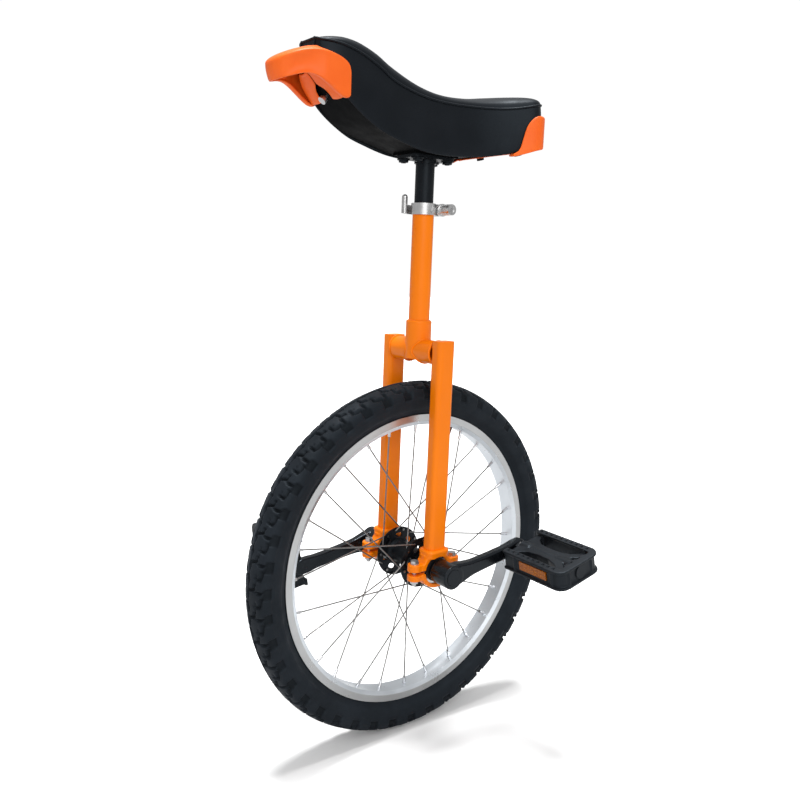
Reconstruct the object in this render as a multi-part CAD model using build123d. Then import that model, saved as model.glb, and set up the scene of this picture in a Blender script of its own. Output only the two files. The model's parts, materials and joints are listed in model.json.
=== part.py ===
"""A 20 inch unicycle with a curved saddle, built as separate pieces in millimetres.

Frame: +X forward (the saddle's handle end), +Y to the rider's left, +Z up.
The origin is on the ground, straight below the wheel's axle.
"""

from build123d import *
from math import atan2, cos, degrees, pi, radians, sin
import os

# ---- driving dimensions -------------------------------------------------------------
TYRE_R = 254.0  # 20 inch tyre, outer radius
AXLE_Z = TYRE_R  # the axle's height above the ground
RIM_R = 209.0  # outer edge of a 406 mm rim
SPOKES = 28
SPOKE_R = 1.0
NIPPLE_SEAT_R = 195.2  # inside the rim's inner wall
SPOKE_PHASE = 116.0  # angle of the first nipple, from +X towards +Z
CROSSES = 2  # each spoke crosses two others on its side
HUB_PCR = 32.0  # radius of the spoke hole circle
FLANGE_IN, FLANGE_OUT = 26.5, 29.5  # the hub flange's faces, from the middle plane
VALVE_ANGLE = SPOKE_PHASE - 180.0 / SPOKES  # half way between two nipples
VALVE_R = 3.85  # a car-type valve's stem, where it stands clear of the rim
VALVE_ROOT_R = 3.6  # the same stem inside the rim
VALVE_END = 163.0  # radius at the valve's open end
VALVE_STEP = 193.0  # radius where the stem leaves the rim
TUBE_MID_R, TUBE_OUT_R = 227.0, 18.0  # inner tube: ring radius and section radius

BEARING_Y = 54.0  # bearing centre from the middle plane
BEARING_W = 12.0
BEARING_OUT_R = 20.0
BEARING_IN_R = 8.5
BALL_R, BALL_PCR = 3.0, 14.25
LEG_X, LEG_Y = 28.0, 20.0  # rounded rectangular leg tube
LEG_WALL = 1.8
LEG_TOP = AXLE_Z + 314.0
SOCKET_Z = AXLE_Z + 20.0  # where a leg ends inside its bearing housing
HOUSING_W = 18.0
HOUSING_BOLT_X = 33.0

SEAT_TUBE_R, TUBE_BORE = 14.3, 12.75  # seat tube, outside and inside radius
TUBE_TOP = AXLE_Z + 493.0
LUG_R = 17.6
LUG_Z = (AXLE_Z + 286.0, AXLE_Z + 338.0)
CROSS_R = 16.0
CROSS_Z = AXLE_Z + 297.0

POST_R = 12.7
POST_BOTTOM = 590.0
COLLAR_R = 16.6
COLLAR_Z = (AXLE_Z + 478.0, AXLE_Z + 493.0)
SKEWER_X, SKEWER_Z = -22.0, AXLE_Z + 485.5
LEVER_Y = -17.0  # the lever's pivot pin, beside the collar's right ear

CRANK = 127.0
CRANK_ANGLE = 171.0  # the left crank, from +X towards +Z
BOSS_R = 15.0
BOSS_Y = (66.0, 98.0)
ARM_Y = (84.5, 97.0)
PEDAL_Y = (101.0, 210.0)
PEDAL_HALF_X = 40.0
PEDAL_HALF_Z = 14.0
PEDAL_PITCH = {1: 13.5, -1: -81.0}  # how each pedal has turned on its spindle
SPINDLE_R = 6.0

COVER_T = 2.0  # vinyl cover
BASE_T = 4.0  # moulded saddle base
BASE_RECESS = 3.0  # the base sits this far above the cover's lower edge
NOSE_END = 179.0
PAD_Z = AXLE_Z + 553.0  # flat pad under the base, where the post bolts on
BRACKET_T = 4.0
BRACKET_BOLTS = (25.0, 15.0)

# Saddle sections: x, half width, lower edge, top seam, crown. Heights are above the axle.
SADDLE = [
    (-146, 60, 580, 628, 640),
    (-138, 74, 577, 628, 643),
    (-122, 81, 572, 626, 643),
    (-103, 71, 565, 622, 641),
    (-80, 56, 559, 620, 637),
    (-45, 43, 554, 619, 632),
    (0, 39, 551.5, 617, 631),
    (40, 38.5, 554, 620, 638),
    (80, 39, 563.5, 629, 652),
    (115, 39, 575, 645, 666),
    (145, 38, 597, 654, 671),
    (167, 33, 617, 656, 668),
    (NOSE_END, 24, 630, 655, 661),
]
# Front handle, seen from the side: x and height above the axle, and from above: x and half width.
HANDLE_TOP = [(143, 631), (150, 641), (158, 646), (172, 650), (188, 652)]
HANDLE_TOP += [(204, 649), (218, 641), (228, 632), (232, 623)]
HANDLE_LIP = [(232, 612), (228, 609), (218, 613), (204, 618), (188, 620)]
HANDLE_LIP += [(172, 615), (158, 603), (150, 599), (143, 601)]
HANDLE_SIDE = [(143, 43), (158, 42.8), (172, 42), (188, 39.5), (204, 35.5), (218, 29), (228, 20), (232, 9)]
HANDLE_T = 4.0

NOSE_X, NOSE_SLOPE = 156.0, radians(42.3)
TAIL_X, TAIL_BOLT_Y, TAIL_SLOPE = -130.0, 38.0, radians(-17.4)
TRIM_TAB_T = 3.0  # handle tab and bumper shelf
TRIM_NUT_UP = 6.4  # the trim nuts' seats, up from the cover's lower edge

SIDES = {"left": 1, "right": -1}
WHEEL_AXIS = Axis((0, 0, AXLE_Z), (0, 1, 0))
CENTRED = (Align.CENTER, Align.CENTER, Align.CENTER)
FROM_ZERO = (Align.CENTER, Align.CENTER, Align.MIN)
nodes = {}


# ---- small helpers ------------------------------------------------------------------
def rod(start, direction, radius, length):
    """A cylinder from a point along a direction."""
    return Plane(origin=start, z_dir=direction) * Cylinder(radius, length, align=FROM_ZERO)


def rod_y(radius, y0, y1, x=0.0, z=AXLE_Z):
    """A cylinder along Y between two y values."""
    low, high = min(y0, y1), max(y0, y1)
    return rod((x, low, z), (0, 1, 0), radius, high - low)


def ring_y(outer, inner, y0, y1, x=0.0, z=AXLE_Z):
    return rod_y(outer, y0, y1, x, z) - rod_y(inner, min(y0, y1) - 1, max(y0, y1) + 1, x, z)


def rod_z(radius, z0, z1, x=0.0, y=0.0):
    return rod((x, y, z0), (0, 0, 1), radius, z1 - z0)


def block(x0, x1, y0, y1, z0, z1):
    """A box between two corners."""
    size = (abs(x1 - x0), abs(y1 - y0), abs(z1 - z0))
    return Pos((x0 + x1) / 2, (y0 + y1) / 2, (z0 + z1) / 2) * Box(*size, align=CENTRED)


def hexagon_rod(start, direction, across_flats, length):
    """A hexagonal prism from a point along a direction."""
    face = Plane(origin=start, z_dir=direction) * RegularPolygon(across_flats / 2, 6, major_radius=False)
    return extrude(face, amount=length)


def group(solids):
    """Separate solids kept in one node."""
    return Compound(children=[s for item in solids for s in item.solids()])


def spin(face):
    """Revolves a face about the wheel's axis."""
    return revolve(face, WHEEL_AXIS, 360)


def wheel_face(points):
    """A polygon from (y, radius) points, in the plane above the axle."""
    return make_face(Polyline(*[(0, y, AXLE_Z + r) for y, r in points], close=True))


def mirrored(points):
    """A half outline and its mirror image across the middle plane, as one closed outline."""
    return points + [(-y, r) for y, r in reversed(points)]


def at_angle(angle, radius, y=0.0):
    """A point on the wheel, by its angle from +X towards +Z."""
    a = radians(angle)
    return Vector(radius * cos(a), y, AXLE_Z + radius * sin(a))


# ---- wheel --------------------------------------------------------------------------
def spoke_ends(k):
    """The hub hole, elbow y and nipple seat of one spoke. Even spokes are on the left."""
    side = 1 if k % 2 == 0 else -1
    turn = (k + 1) // 2
    lead = 1 if turn % 2 == 0 else -1
    rim_angle = SPOKE_PHASE + 360.0 * k / SPOKES
    hub_angle = rim_angle + lead * CROSSES * 720.0 / SPOKES
    elbow_out = turn % 2 == 0
    elbow_y = side * (FLANGE_OUT + 0.9 if elbow_out else FLANGE_IN - 1.25)
    return side, hub_angle, elbow_out, elbow_y, at_angle(rim_angle, NIPPLE_SEAT_R, side * 1.0)


def nipple_line(k):
    """Where a nipple sits in the rim's inner wall and the direction that its spoke pulls."""
    _, hub_angle, _, elbow_y, seat = spoke_ends(k)
    return seat, (seat - at_angle(hub_angle, HUB_PCR, elbow_y)).normalized()


def rim():
    """A double-walled rim with a nipple hole in its inner wall and an access hole in its bed."""
    outside = mirrored(
        [(12, 194.3), (15, 200), (15, RIM_R), (13.2, RIM_R), (13.2, 203.2), (9.5, 202.6), (6, 199.8)]
    )
    hollow = mirrored([(10.9, 196.2), (12.8, 200.4), (9.0, 200.8), (5.5, 198.3)])
    body = spin(wheel_face(outside)) - spin(wheel_face(hollow))
    cuts = []
    for k in range(SPOKES):
        seat, along = nipple_line(k)
        cuts.append(rod(seat - along * 8, along, 2.15, 10.0))
        cuts.append(rod(seat + along * 1.9, along, 4.2, 8.0))
    outward = at_angle(VALVE_ANGLE, 1) - at_angle(VALVE_ANGLE, 0)
    cuts.append(rod(at_angle(VALVE_ANGLE, 190), outward, 4.4, 14))
    return body - cuts


def tyre():
    """The tyre's casing, open at the beads, with its beads inside the rim's walls."""
    outer = [(12.9, 203.4), (13.0, 209.6), (17.0, 213.5), (23.5, 222), (25.0, 232), (22.0, 243)]
    outer.append((13.0, 251.5))
    inner = [(8.8, 203.4), (10.2, 209), (18.5, 219), (21.6, 230), (18.0, 241), (9.0, 247.5)]
    right_out = [(-y, r) for y, r in outer]
    right_in = [(-y, r) for y, r in inner]

    def point(pair):
        return (0, pair[0], AXLE_Z + pair[1])

    over = Spline(*[point(p) for p in outer[1:] + [(0, TYRE_R)] + right_out[:0:-1]])
    under = Spline(*[point(p) for p in inner[1:] + [(0, 249)] + right_in[:0:-1]])
    edges = [over, under]
    for a, b in ((outer, inner), (right_out, right_in)):
        edges.append(Line(point(a[1]), point(a[0])))
        edges.append(Line(point(a[0]), point(b[0])))
        edges.append(Line(point(b[0]), point(b[1])))
    return spin(make_face(edges))


def inner_tube():
    """A thin rubber tube round the wheel."""
    centre = Pos(0, 0, AXLE_Z) * Rot(90, 0, 0)
    return centre * Torus(TUBE_MID_R, TUBE_OUT_R) - centre * Torus(TUBE_MID_R, TUBE_OUT_R - 1.0)


def valve_stem():
    """A car-type valve's stem, bored through, from the inner tube towards the hub."""
    inward = at_angle(VALVE_ANGLE, 0) - at_angle(VALVE_ANGLE, 1)
    root = TUBE_MID_R - TUBE_OUT_R
    stem = rod(at_angle(VALVE_ANGLE, root), inward, VALVE_ROOT_R, root - VALVE_STEP)
    stem += rod(at_angle(VALVE_ANGLE, VALVE_STEP), inward, VALVE_R, VALVE_STEP - VALVE_END)
    return stem - rod(at_angle(VALVE_ANGLE, root + 1), inward, 1.6, root - VALVE_END + 2)


def rim_tape():
    band = ring_y(200.5, 199.85, -5.9, 5.9)
    inward = at_angle(VALVE_ANGLE, 0) - at_angle(VALVE_ANGLE, 1)
    return band - rod(at_angle(VALVE_ANGLE, 203), inward, 4.2, 6)


def spoke(k):
    side, hub_angle, elbow_out, elbow_y, seat = spoke_ends(k)
    corner = at_angle(hub_angle, HUB_PCR, elbow_y)
    far_face = side * (FLANGE_IN - 1.1 if elbow_out else FLANGE_OUT + 0.6)
    head = at_angle(hub_angle, HUB_PCR, far_face)
    along = (seat - corner).normalized()
    path = FilletPolyline(head, corner, seat + along * 1.0, radius=1.6)
    section = Plane(origin=head, z_dir=path % 0) * Circle(SPOKE_R)
    outward = 1 if far_face > elbow_y else -1
    cap = rod(head, (0, outward, 0), 1.9, 1.0)
    return sweep(section, path=path) + cap


def nipple(k):
    """A nipple in line with its spoke, with its head in the rim's hollow."""
    seat, along = nipple_line(k)
    shank = rod(seat - along * 12.0, along, 2.0, 14.0)
    head = rod(seat + along * 1.95, along, 2.9, 1.6)
    bore = rod(seat - along * 13.0, along, SPOKE_R + 0.05, 15.0)
    return shank + head - bore


def hub_shell():
    """A wide-flanged hub with oval holes between its spoke holes and its barrel."""
    half = [(0, 10.1), (47.5, 10.1), (47.5, 13.0), (31, 13.5), (FLANGE_OUT, 16), (FLANGE_OUT, 30.3)]
    half += [(27.9, 36), (FLANGE_IN, 36), (FLANGE_IN, 19), (22, 16), (0, 15)]
    body = spin(wheel_face(half + [(-y, r) for y, r in reversed(half)][1:-1]))
    cuts = []
    for k in range(SPOKES):
        side, hub_angle, _, _, _ = spoke_ends(k)
        start = at_angle(hub_angle, HUB_PCR, side * (FLANGE_IN - 1))
        cuts.append(rod(start, (0, side, 0), SPOKE_R + 0.3, 5))
    for side in SIDES.values():
        for k in range(7):
            middle = at_angle(360.0 * k / 7 + 12 * side, 23.8, side * (FLANGE_IN - 1))
            radial = middle - Vector(0, middle.Y, AXLE_Z)
            flat = Plane(origin=middle, x_dir=radial, z_dir=(0, side, 0))
            cuts.append(extrude(flat * Rot(0, 0, 90) * SlotCenterToCenter(5, 7), amount=5))
    return body - cuts


def axle():
    """The axle: a body in the hub, two bearing journals and two square ends for the cranks."""
    solid = rod_y(10.0, -47.4, 47.4) + rod_y(BEARING_IN_R, -BOSS_Y[0], BOSS_Y[0])
    for side in SIDES.values():
        square = Plane(origin=(0, side * BOSS_Y[0], AXLE_Z), z_dir=(0, side, 0)) * Rot(0, 0, 45)
        solid += extrude(square * Rectangle(12.7, 12.7), amount=20)
        solid -= rod_y(3.9, side * 68, side * 87)
    return solid


def crank(side):
    """A crank pointing along +X: round boss, tapered arm with bevelled edges, pedal hole."""
    flat = Plane(origin=(0, side * ARM_Y[0], AXLE_Z), x_dir=(1, 0, 0), z_dir=(0, side, 0))
    rings = Circle(12.6).edges() + (Pos(CRANK, 0) * Circle(12.0)).edges()
    arm = extrude(flat * make_hull(rings), amount=ARM_Y[1] - ARM_Y[0])
    outer_face = arm.faces().sort_by(Axis.Y)[-1 if side > 0 else 0]
    arm = chamfer(outer_face.edges(), 2.4)
    boss = rod_y(BOSS_R, side * (BOSS_Y[0] + 3), side * BOSS_Y[1]) + rod_y(13.0, side * BOSS_Y[0], side * 75)
    hollow = rod_y(11.0, side * 88, side * 110)
    square = Plane(origin=(0, side * 60, AXLE_Z), z_dir=(0, side, 0)) * Rot(0, 0, 45)
    hole = extrude(square * Rectangle(12.8, 12.8), amount=40)
    return arm + boss - hollow - hole - rod_y(7.05, side * 80, side * 100, x=CRANK)


def crank_bolt(side):
    """An M8 bolt with a washer head that holds the crank on the axle."""
    head = rod_y(10.2, side * 88.0, side * 89.8)
    head += hexagon_rod((0, side * 89.8, AXLE_Z), (0, side, 0), 14, 4.2)
    return head + rod_y(3.8, side * 70, side * 88.0)


def dust_cap(side):
    return rod_y(10.9, side * 95.2, side * 98.6) - rod_y(9.0, side * 95.0, side * 96.4)


def spindle(side):
    """A pedal spindle pointing out of the crank's pedal hole, with its end nut and washer."""
    thread = rod_y(7.0, side * (ARM_Y[0] + 0.5), side * 97.2, x=CRANK)
    collar = hexagon_rod((CRANK, side * 97.2, AXLE_Z), (0, side, 0), 15, 4.6)
    shaft = rod_y(SPINDLE_R, side * 101.8, side * 198.6, x=CRANK)
    return thread + collar + shaft + rod_y(4.0, side * 198.6, side * 203.4, x=CRANK)


def spindle_nut(side):
    nut = hexagon_rod((CRANK, side * 198.6, AXLE_Z), (0, side, 0), 11, 4.0)
    return nut - rod_y(4.0, side * 198, side * 204, x=CRANK)


def turned(shape, side):
    """Turns a piece made on a crank along +X to where that side's crank is."""
    angle = CRANK_ANGLE if side > 0 else CRANK_ANGLE - 180.0
    return Pos(0, 0, AXLE_Z) * Rot(0, -angle, 0) * Pos(0, 0, -AXLE_Z) * shape


# ---- pedals -------------------------------------------------------------------------
def pedal_place(shape, side):
    """Moves a pedal piece, made about the Y axis, to its spindle and turns it to its pitch."""
    angle = radians(CRANK_ANGLE if side > 0 else CRANK_ANGLE - 180.0)
    middle = Pos(CRANK * cos(angle), 0, AXLE_Z + CRANK * sin(angle))
    return middle * Rot(0, PEDAL_PITCH[side], 0) * shape


def plan(side, z):
    """A drawing plane across the pedal, centred on its length, at height z."""
    return Plane(origin=(0, side * sum(PEDAL_Y) / 2, z), x_dir=(1, 0, 0), z_dir=(0, 0, 1))


def pedal_frame(side):
    """A moulded pedal: tall perimeter wall, wide rims above and below, barrel and webs."""
    length = PEDAL_Y[1] - PEDAL_Y[0]
    width = 2 * PEDAL_HALF_X
    body = None
    for z0, height, outer, inner in (
        (-PEDAL_HALF_Z, 3.2, 0.0, 12.0),
        (-PEDAL_HALF_Z, 2 * PEDAL_HALF_Z, 3.0, 7.0),
        (PEDAL_HALF_Z - 3.2, 3.2, 0.0, 12.0),
    ):
        ring = RectangleRounded(width - 2 * outer, length - 2 * outer, 15 - outer)
        ring -= RectangleRounded(width - 2 * inner, length - 2 * inner, 15 - inner)
        layer = extrude(plan(side, z0) * ring, amount=height)
        body = layer if body is None else body + layer
    middle = sum(PEDAL_Y) / 2
    reach = length / 2 - 5
    for x_sign in (1, -1):
        for y_sign in (1, -1):
            start = Vector(0, side * (middle + y_sign * 17), 0)
            end = Vector(x_sign * (PEDAL_HALF_X - 8), side * (middle + y_sign * reach), 0)
            run = end - start
            web = Box(run.length, 5.0, 20.0, align=(Align.MIN, Align.CENTER, Align.CENTER))
            turn = degrees(atan2(run.Y, run.X))
            body += Pos(start.X, start.Y, 0) * Rot(0, 0, turn) * web
    body += rod_y(11.0, side * (PEDAL_Y[0] + 1.5), side * (PEDAL_Y[1] - 3.0), z=0.0)
    body -= rod_y(8.0, side * 100, side * 212, z=0.0)
    body -= block(-9.5, 9.5, side * 99, side * 104.0, 9.0, 20.0)
    body -= block(-9.5, 9.5, side * 99, side * 104.0, -20.0, -9.0)
    cuts = []
    for x in (-34.0, 34.0):
        for k in range(9):
            y = side * (middle + (k - 4) * 9.4)
            for z in (PEDAL_HALF_Z - 1.6, -PEDAL_HALF_Z - 0.4):
                pocket = Box(4.2, 4.2, 2.0, align=FROM_ZERO)
                cuts.append(Pos(x, y, z) * Rot(0, 0, 45) * pocket)
    for x_sign in (1, -1):
        wall = x_sign * (PEDAL_HALF_X - 3)
        cuts.append(block(wall - x_sign * 1.5, wall + x_sign * 1, side * 131, side * 180, -6.5, 6.5))
    return body - cuts


def pedal_bushes(side):
    """Two plain bushes that carry the pedal on its spindle."""
    spans = ((103.0, 117.0), (184.0, 198.0))
    return group([ring_y(8.0, SPINDLE_R + 0.05, side * a, side * b, z=0.0) for a, b in spans])


def pedal_reflectors(side):
    faces = []
    for x_sign in (1, -1):
        wall = x_sign * (PEDAL_HALF_X - 3)
        faces.append(block(wall - x_sign * 1.5, wall + x_sign * 0.8, side * 131.2, side * 179.8, -6.3, 6.3))
    return group(faces)


def pedal_cap(side):
    return rod_y(8.0, side * 204.5, side * 207.0, z=0.0) + rod_y(9.5, side * 207.0, side * 208.6, z=0.0)


# ---- frame --------------------------------------------------------------------------
def seat_tube():
    """The seat tube, with a clamping slot at the back of its top end."""
    tube = rod_z(SEAT_TUBE_R, LUG_Z[0], TUBE_TOP) - rod_z(TUBE_BORE, LUG_Z[0] - 1, TUBE_TOP + 1)
    return tube - block(-20, 0, -1.2, 1.2, TUBE_TOP - 34, TUBE_TOP + 1)


def crown_lug():
    """The sleeve that the seat tube is brazed into."""
    sleeve = rod_z(LUG_R, *LUG_Z)
    top_edges = sleeve.edges().group_by(Axis.Z)[-1]
    return fillet(top_edges, 2.5) - rod_z(SEAT_TUBE_R, LUG_Z[0] - 1, LUG_Z[1] + 1)


def cross_tube(side):
    """A round tube from the lug to a leg, coped to the lug."""
    reach = BEARING_Y - LEG_Y / 2
    tube = rod_y(CROSS_R, side * 6, side * reach, z=CROSS_Z)
    tube -= rod_y(CROSS_R - 2.0, side * 5, side * (reach + 1), z=CROSS_Z)
    return tube - rod_z(LUG_R, LUG_Z[0] - 20, LUG_Z[1] + 20)


def leg(side):
    """A rounded rectangular fork leg with a closed top, open inside its housing's socket."""
    outline = RectangleRounded(LEG_X, LEG_Y, 6.5)
    bore = RectangleRounded(LEG_X - 2 * LEG_WALL, LEG_Y - 2 * LEG_WALL, 6.5 - LEG_WALL)
    start = Plane(origin=(0, side * BEARING_Y, SOCKET_Z))
    solid = extrude(start * outline, amount=LEG_TOP - SOCKET_Z)
    solid -= extrude(start * bore, amount=LEG_TOP - SOCKET_Z - 2.5)
    return solid


def housing(side):
    """The upper half of a bearing housing: socket for the leg, saddle and two bolt ears."""
    y0, y1 = side * (BEARING_Y - HOUSING_W / 2), side * (BEARING_Y + HOUSING_W / 2)
    body = rod_y(26.0, y0, y1)
    body += block(-43, 43, y0 + side * 1.5, y1 - side * 1.5, AXLE_Z + 1.6, AXLE_Z + 12)
    body += block(-21, 21, y0, y1, AXLE_Z, AXLE_Z + 21)
    socket = RectangleRounded(LEG_X + 8, LEG_Y + 7, 8.5)
    base = Plane(origin=(0, side * BEARING_Y, AXLE_Z + 17))
    body += extrude(base * socket, amount=12)
    body -= block(-60, 60, side * 30, side * 80, AXLE_Z - 40, AXLE_Z + 1.6)
    body -= rod_y(BEARING_OUT_R, side * 30, side * 80)
    start = Plane(origin=(0, side * BEARING_Y, SOCKET_Z))
    body -= extrude(start * RectangleRounded(LEG_X, LEG_Y, 6.5), amount=30)
    for x in (-HOUSING_BOLT_X, HOUSING_BOLT_X):
        body -= rod_z(3.3, AXLE_Z - 5, AXLE_Z + 30, x, side * BEARING_Y)
    return body


def housing_cap(side):
    """The lower half of a bearing housing, drawn up by two bolts."""
    y0, y1 = side * (BEARING_Y - HOUSING_W / 2), side * (BEARING_Y + HOUSING_W / 2)
    body = rod_y(25.5, y0, y1)
    body += block(-43, 43, y0 + side * 1.5, y1 - side * 1.5, AXLE_Z - 1.6, AXLE_Z - 10)
    body -= block(-60, 60, side * 30, side * 80, AXLE_Z - 1.6, AXLE_Z + 40)
    body -= rod_y(BEARING_OUT_R, side * 30, side * 80)
    for x in (-HOUSING_BOLT_X, HOUSING_BOLT_X):
        body -= rod_z(3.3, AXLE_Z - 30, AXLE_Z + 5, x, side * BEARING_Y)
    return body


def ear_places():
    """Where the four housing bolts are."""
    return [(x, side * BEARING_Y) for side in SIDES.values() for x in (-HOUSING_BOLT_X, HOUSING_BOLT_X)]


def housing_bolt(x, y):
    """An M6 bolt with a domed hexagon head above the ear."""
    top = AXLE_Z + 12
    shank = rod_z(3.0, AXLE_Z - 18.5, top, x, y)
    washer = rod_z(6.0, top, top + 1.2, x, y)
    return shank + washer + hexagon_rod((x, y, top + 1.2), (0, 0, 1), 10, 3.8)


def housing_nut(x, y):
    nut = hexagon_rod((x, y, AXLE_Z - 10), (0, 0, -1), 10, 5.0)
    return nut - rod_z(3.05, AXLE_Z - 30, AXLE_Z, x, y)


def bearing_span(side):
    return side * (BEARING_Y - BEARING_W / 2), side * (BEARING_Y + BEARING_W / 2)


def ball_groove(side):
    """The round track that both races are ground to, a little larger than the balls."""
    across = Plane(origin=(0, side * BEARING_Y, AXLE_Z + BALL_PCR), x_dir=(0, 1, 0), z_dir=(1, 0, 0))
    return spin(across * Circle(BALL_R + 0.35))


def outer_races():
    races = [ring_y(BEARING_OUT_R, 16.6, *bearing_span(s)) - ball_groove(s) for s in SIDES.values()]
    return group(races)


def inner_races():
    races = [ring_y(11.9, BEARING_IN_R, *bearing_span(s)) - ball_groove(s) for s in SIDES.values()]
    return group(races)


def bearing_balls():
    """Eight balls in each bearing, clear of both races' grooves."""
    balls = []
    for side in SIDES.values():
        for k in range(8):
            balls.append(Pos(at_angle(45.0 * k, BALL_PCR, side * BEARING_Y)) * Sphere(BALL_R))
    return group(balls)


def bearing_shields():
    """Thin shields held by the outer races, clear of the inner races."""
    discs = []
    for side in SIDES.values():
        y0, y1 = bearing_span(side)
        discs.append(ring_y(16.6, 12.4, y0, y0 + side * 0.8))
        discs.append(ring_y(16.6, 12.4, y1 - side * 0.8, y1))
    return group(discs)


def spacers():
    """Rings on the axle between each bearing and its crank."""
    rings = []
    for side in SIDES.values():
        rings.append(ring_y(12.0, BEARING_IN_R, side * 60.0, side * BOSS_Y[0]))
    return group(rings)


# ---- seat clamp ---------------------------------------------------------------------
def seat_collar():
    """A split collar round the seat tube's top, with two ears behind it for the skewer."""
    z0, z1 = COLLAR_Z
    body = rod_z(COLLAR_R, z0, z1) + block(-28, -12, -8, 8, z0, z1)
    body -= rod_z(SEAT_TUBE_R, z0 - 1, z1 + 1)
    body -= block(-40, 0, -1.2, 1.2, z0 - 1, z1 + 1)
    return body - rod_y(2.8, -20, 20, SKEWER_X, SKEWER_Z)


def skewer():
    """The skewer rod, with an eye at its right end for the lever's pin."""
    shaft = rod_y(2.5, LEVER_Y, 31.5, SKEWER_X, SKEWER_Z)
    eye = rod_z(3.9, SKEWER_Z - 2.6, SKEWER_Z + 2.6, SKEWER_X, LEVER_Y)
    return shaft + eye - rod_z(1.6, SKEWER_Z - 5, SKEWER_Z + 5, SKEWER_X, LEVER_Y)


def skewer_washers():
    """A dished washer on each side of the collar's ears."""
    left = ring_y(6.5, 2.8, 8.0, 9.8, SKEWER_X, SKEWER_Z)
    right = ring_y(6.5, 2.8, -8.0, -10.0, SKEWER_X, SKEWER_Z)
    return group([left, right])


def skewer_nut():
    """The round nut that sets the clamp's grip."""
    nut = rod_y(8.3, 10.2, 14.0, SKEWER_X, SKEWER_Z) + rod_y(7.2, 14.0, 33.0, SKEWER_X, SKEWER_Z)
    knurl = []
    for k in range(18):
        a = 2 * pi * k / 18
        knurl.append(rod_y(0.7, 17.0, 30.0, SKEWER_X + 7.4 * cos(a), SKEWER_Z + 7.4 * sin(a)))
    nut = nut - knurl
    nut -= rod_y(4.2, 31.8, 34.0, SKEWER_X, SKEWER_Z)
    return nut - rod_y(2.55, 9.0, 34.0, SKEWER_X, SKEWER_Z)


def lever_pin():
    return rod_z(1.55, SKEWER_Z - 7.4, SKEWER_Z + 7.4, SKEWER_X, LEVER_Y)


def lever():
    """The cam lever: a forked head on the pin and an arm that curls forward round the collar."""
    z0, z1 = SKEWER_Z - 7, SKEWER_Z + 7
    head = rod_z(6.6, z0, z1, SKEWER_X, LEVER_Y)
    middle_r = 25.5
    head_angle = degrees(atan2(LEVER_Y, SKEWER_X))
    tip_angle = -38.0
    sector = []
    steps = 6
    for k in range(steps + 1):
        a = radians(head_angle + (tip_angle - head_angle) * k / steps)
        sector.append((cos(a), sin(a)))
    inner = [(x * (middle_r - 2.2), y * (middle_r - 2.2)) for x, y in sector]
    outer = [(x * (middle_r + 2.2), y * (middle_r + 2.2)) for x, y in sector]
    ground = Plane(origin=(0, 0, z0 + 1))
    edges = [
        ThreePointArc(inner[0], inner[steps // 2], inner[-1]),
        Line(inner[-1], outer[-1]),
        ThreePointArc(outer[-1], outer[steps // 2], outer[0]),
        Line(outer[0], inner[0]),
    ]
    arm = extrude(ground * make_face(edges), amount=12)
    tip_x, tip_y = sector[-1][0] * middle_r, sector[-1][1] * middle_r
    tip = rod_z(3.9, z0 + 1, SKEWER_Z + 15, tip_x, tip_y)
    tip += Pos(tip_x, tip_y, SKEWER_Z + 15) * Sphere(3.9)
    body = head + arm + tip
    slot = rod_z(4.4, SKEWER_Z - 3.0, SKEWER_Z + 3.0, SKEWER_X, LEVER_Y)
    toward = degrees(atan2(-cos(radians(head_angle)), sin(radians(head_angle))))
    wedge = Box(20, 30, 6.0, align=(Align.MIN, Align.CENTER, Align.CENTER))
    for swing in (0.0, 62.0):  # room for the skewer as the lever turns
        slot += Pos(SKEWER_X, LEVER_Y, SKEWER_Z) * Rot(0, 0, toward + swing) * wedge
    return body - slot - rod_z(1.62, z0 - 1, z1 + 1, SKEWER_X, LEVER_Y)


# ---- seat ---------------------------------------------------------------------------
def section(x, half_width, low, seam, crown):
    """One saddle section: flat bottom, upright sides that lean in a little, arched top."""
    bottom_l, bottom_r = (-half_width, low), (half_width, low)
    seam_r, seam_l = (0.94 * half_width, seam), (-0.94 * half_width, seam)
    edges = [
        Line(bottom_l, bottom_r),
        Line(bottom_r, seam_r),
        ThreePointArc(seam_r, (0, crown), seam_l),
        Line(seam_l, bottom_l),
    ]
    across = Plane(origin=(x, 0, AXLE_Z), x_dir=(0, 1, 0), z_dir=(1, 0, 0))
    return across * make_face(edges)


def saddle_loft(grow=0.0, deeper=0.0, ends=0.0, rows=SADDLE):
    """A smooth solid through the saddle's sections, grown sideways and upward, and deeper below."""
    made = []
    for k, (x, half_width, low, seam, crown) in enumerate(rows):
        shift = -ends if k == 0 else ends if k == len(rows) - 1 else 0.0
        made.append(section(x + shift, half_width + grow, low - deeper, seam + grow / 2, crown + grow))
    return loft(made)


def plate_loft(bottom, top, extra=0.0, rows=SADDLE):
    """A curved plate that follows the saddle's lower edge, between two heights above it."""
    made = []
    for x, half_width, low, _, _ in rows:
        across = Plane(origin=(x, 0, AXLE_Z), x_dir=(0, 1, 0), z_dir=(1, 0, 0))
        middle = Pos(0, low + (bottom + top) / 2)
        made.append(across * middle * Rectangle(2 * (half_width + extra), top - bottom))
    return loft(made)


def bracket_places():
    bx, by = BRACKET_BOLTS
    return [(x, y) for x in (-bx, bx) for y in (-by, by)]


def lower_edge(x):
    """The saddle's lower edge height at x, between two sections."""
    for (x0, _, z0, _, _), (x1, _, z1, _, _) in zip(SADDLE, SADDLE[1:]):
        if x0 <= x <= x1:
            return AXLE_Z + z0 + (z1 - z0) * (x - x0) / (x1 - x0)
    raise ValueError("x is off the saddle")


def trim_bolt_line(x, y, slope):
    """Where a trim bolt's axis meets the cover's lower edge, and its direction, square to it."""
    return Vector(x, y, lower_edge(x)), Vector(-sin(slope), 0, cos(slope))


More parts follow.
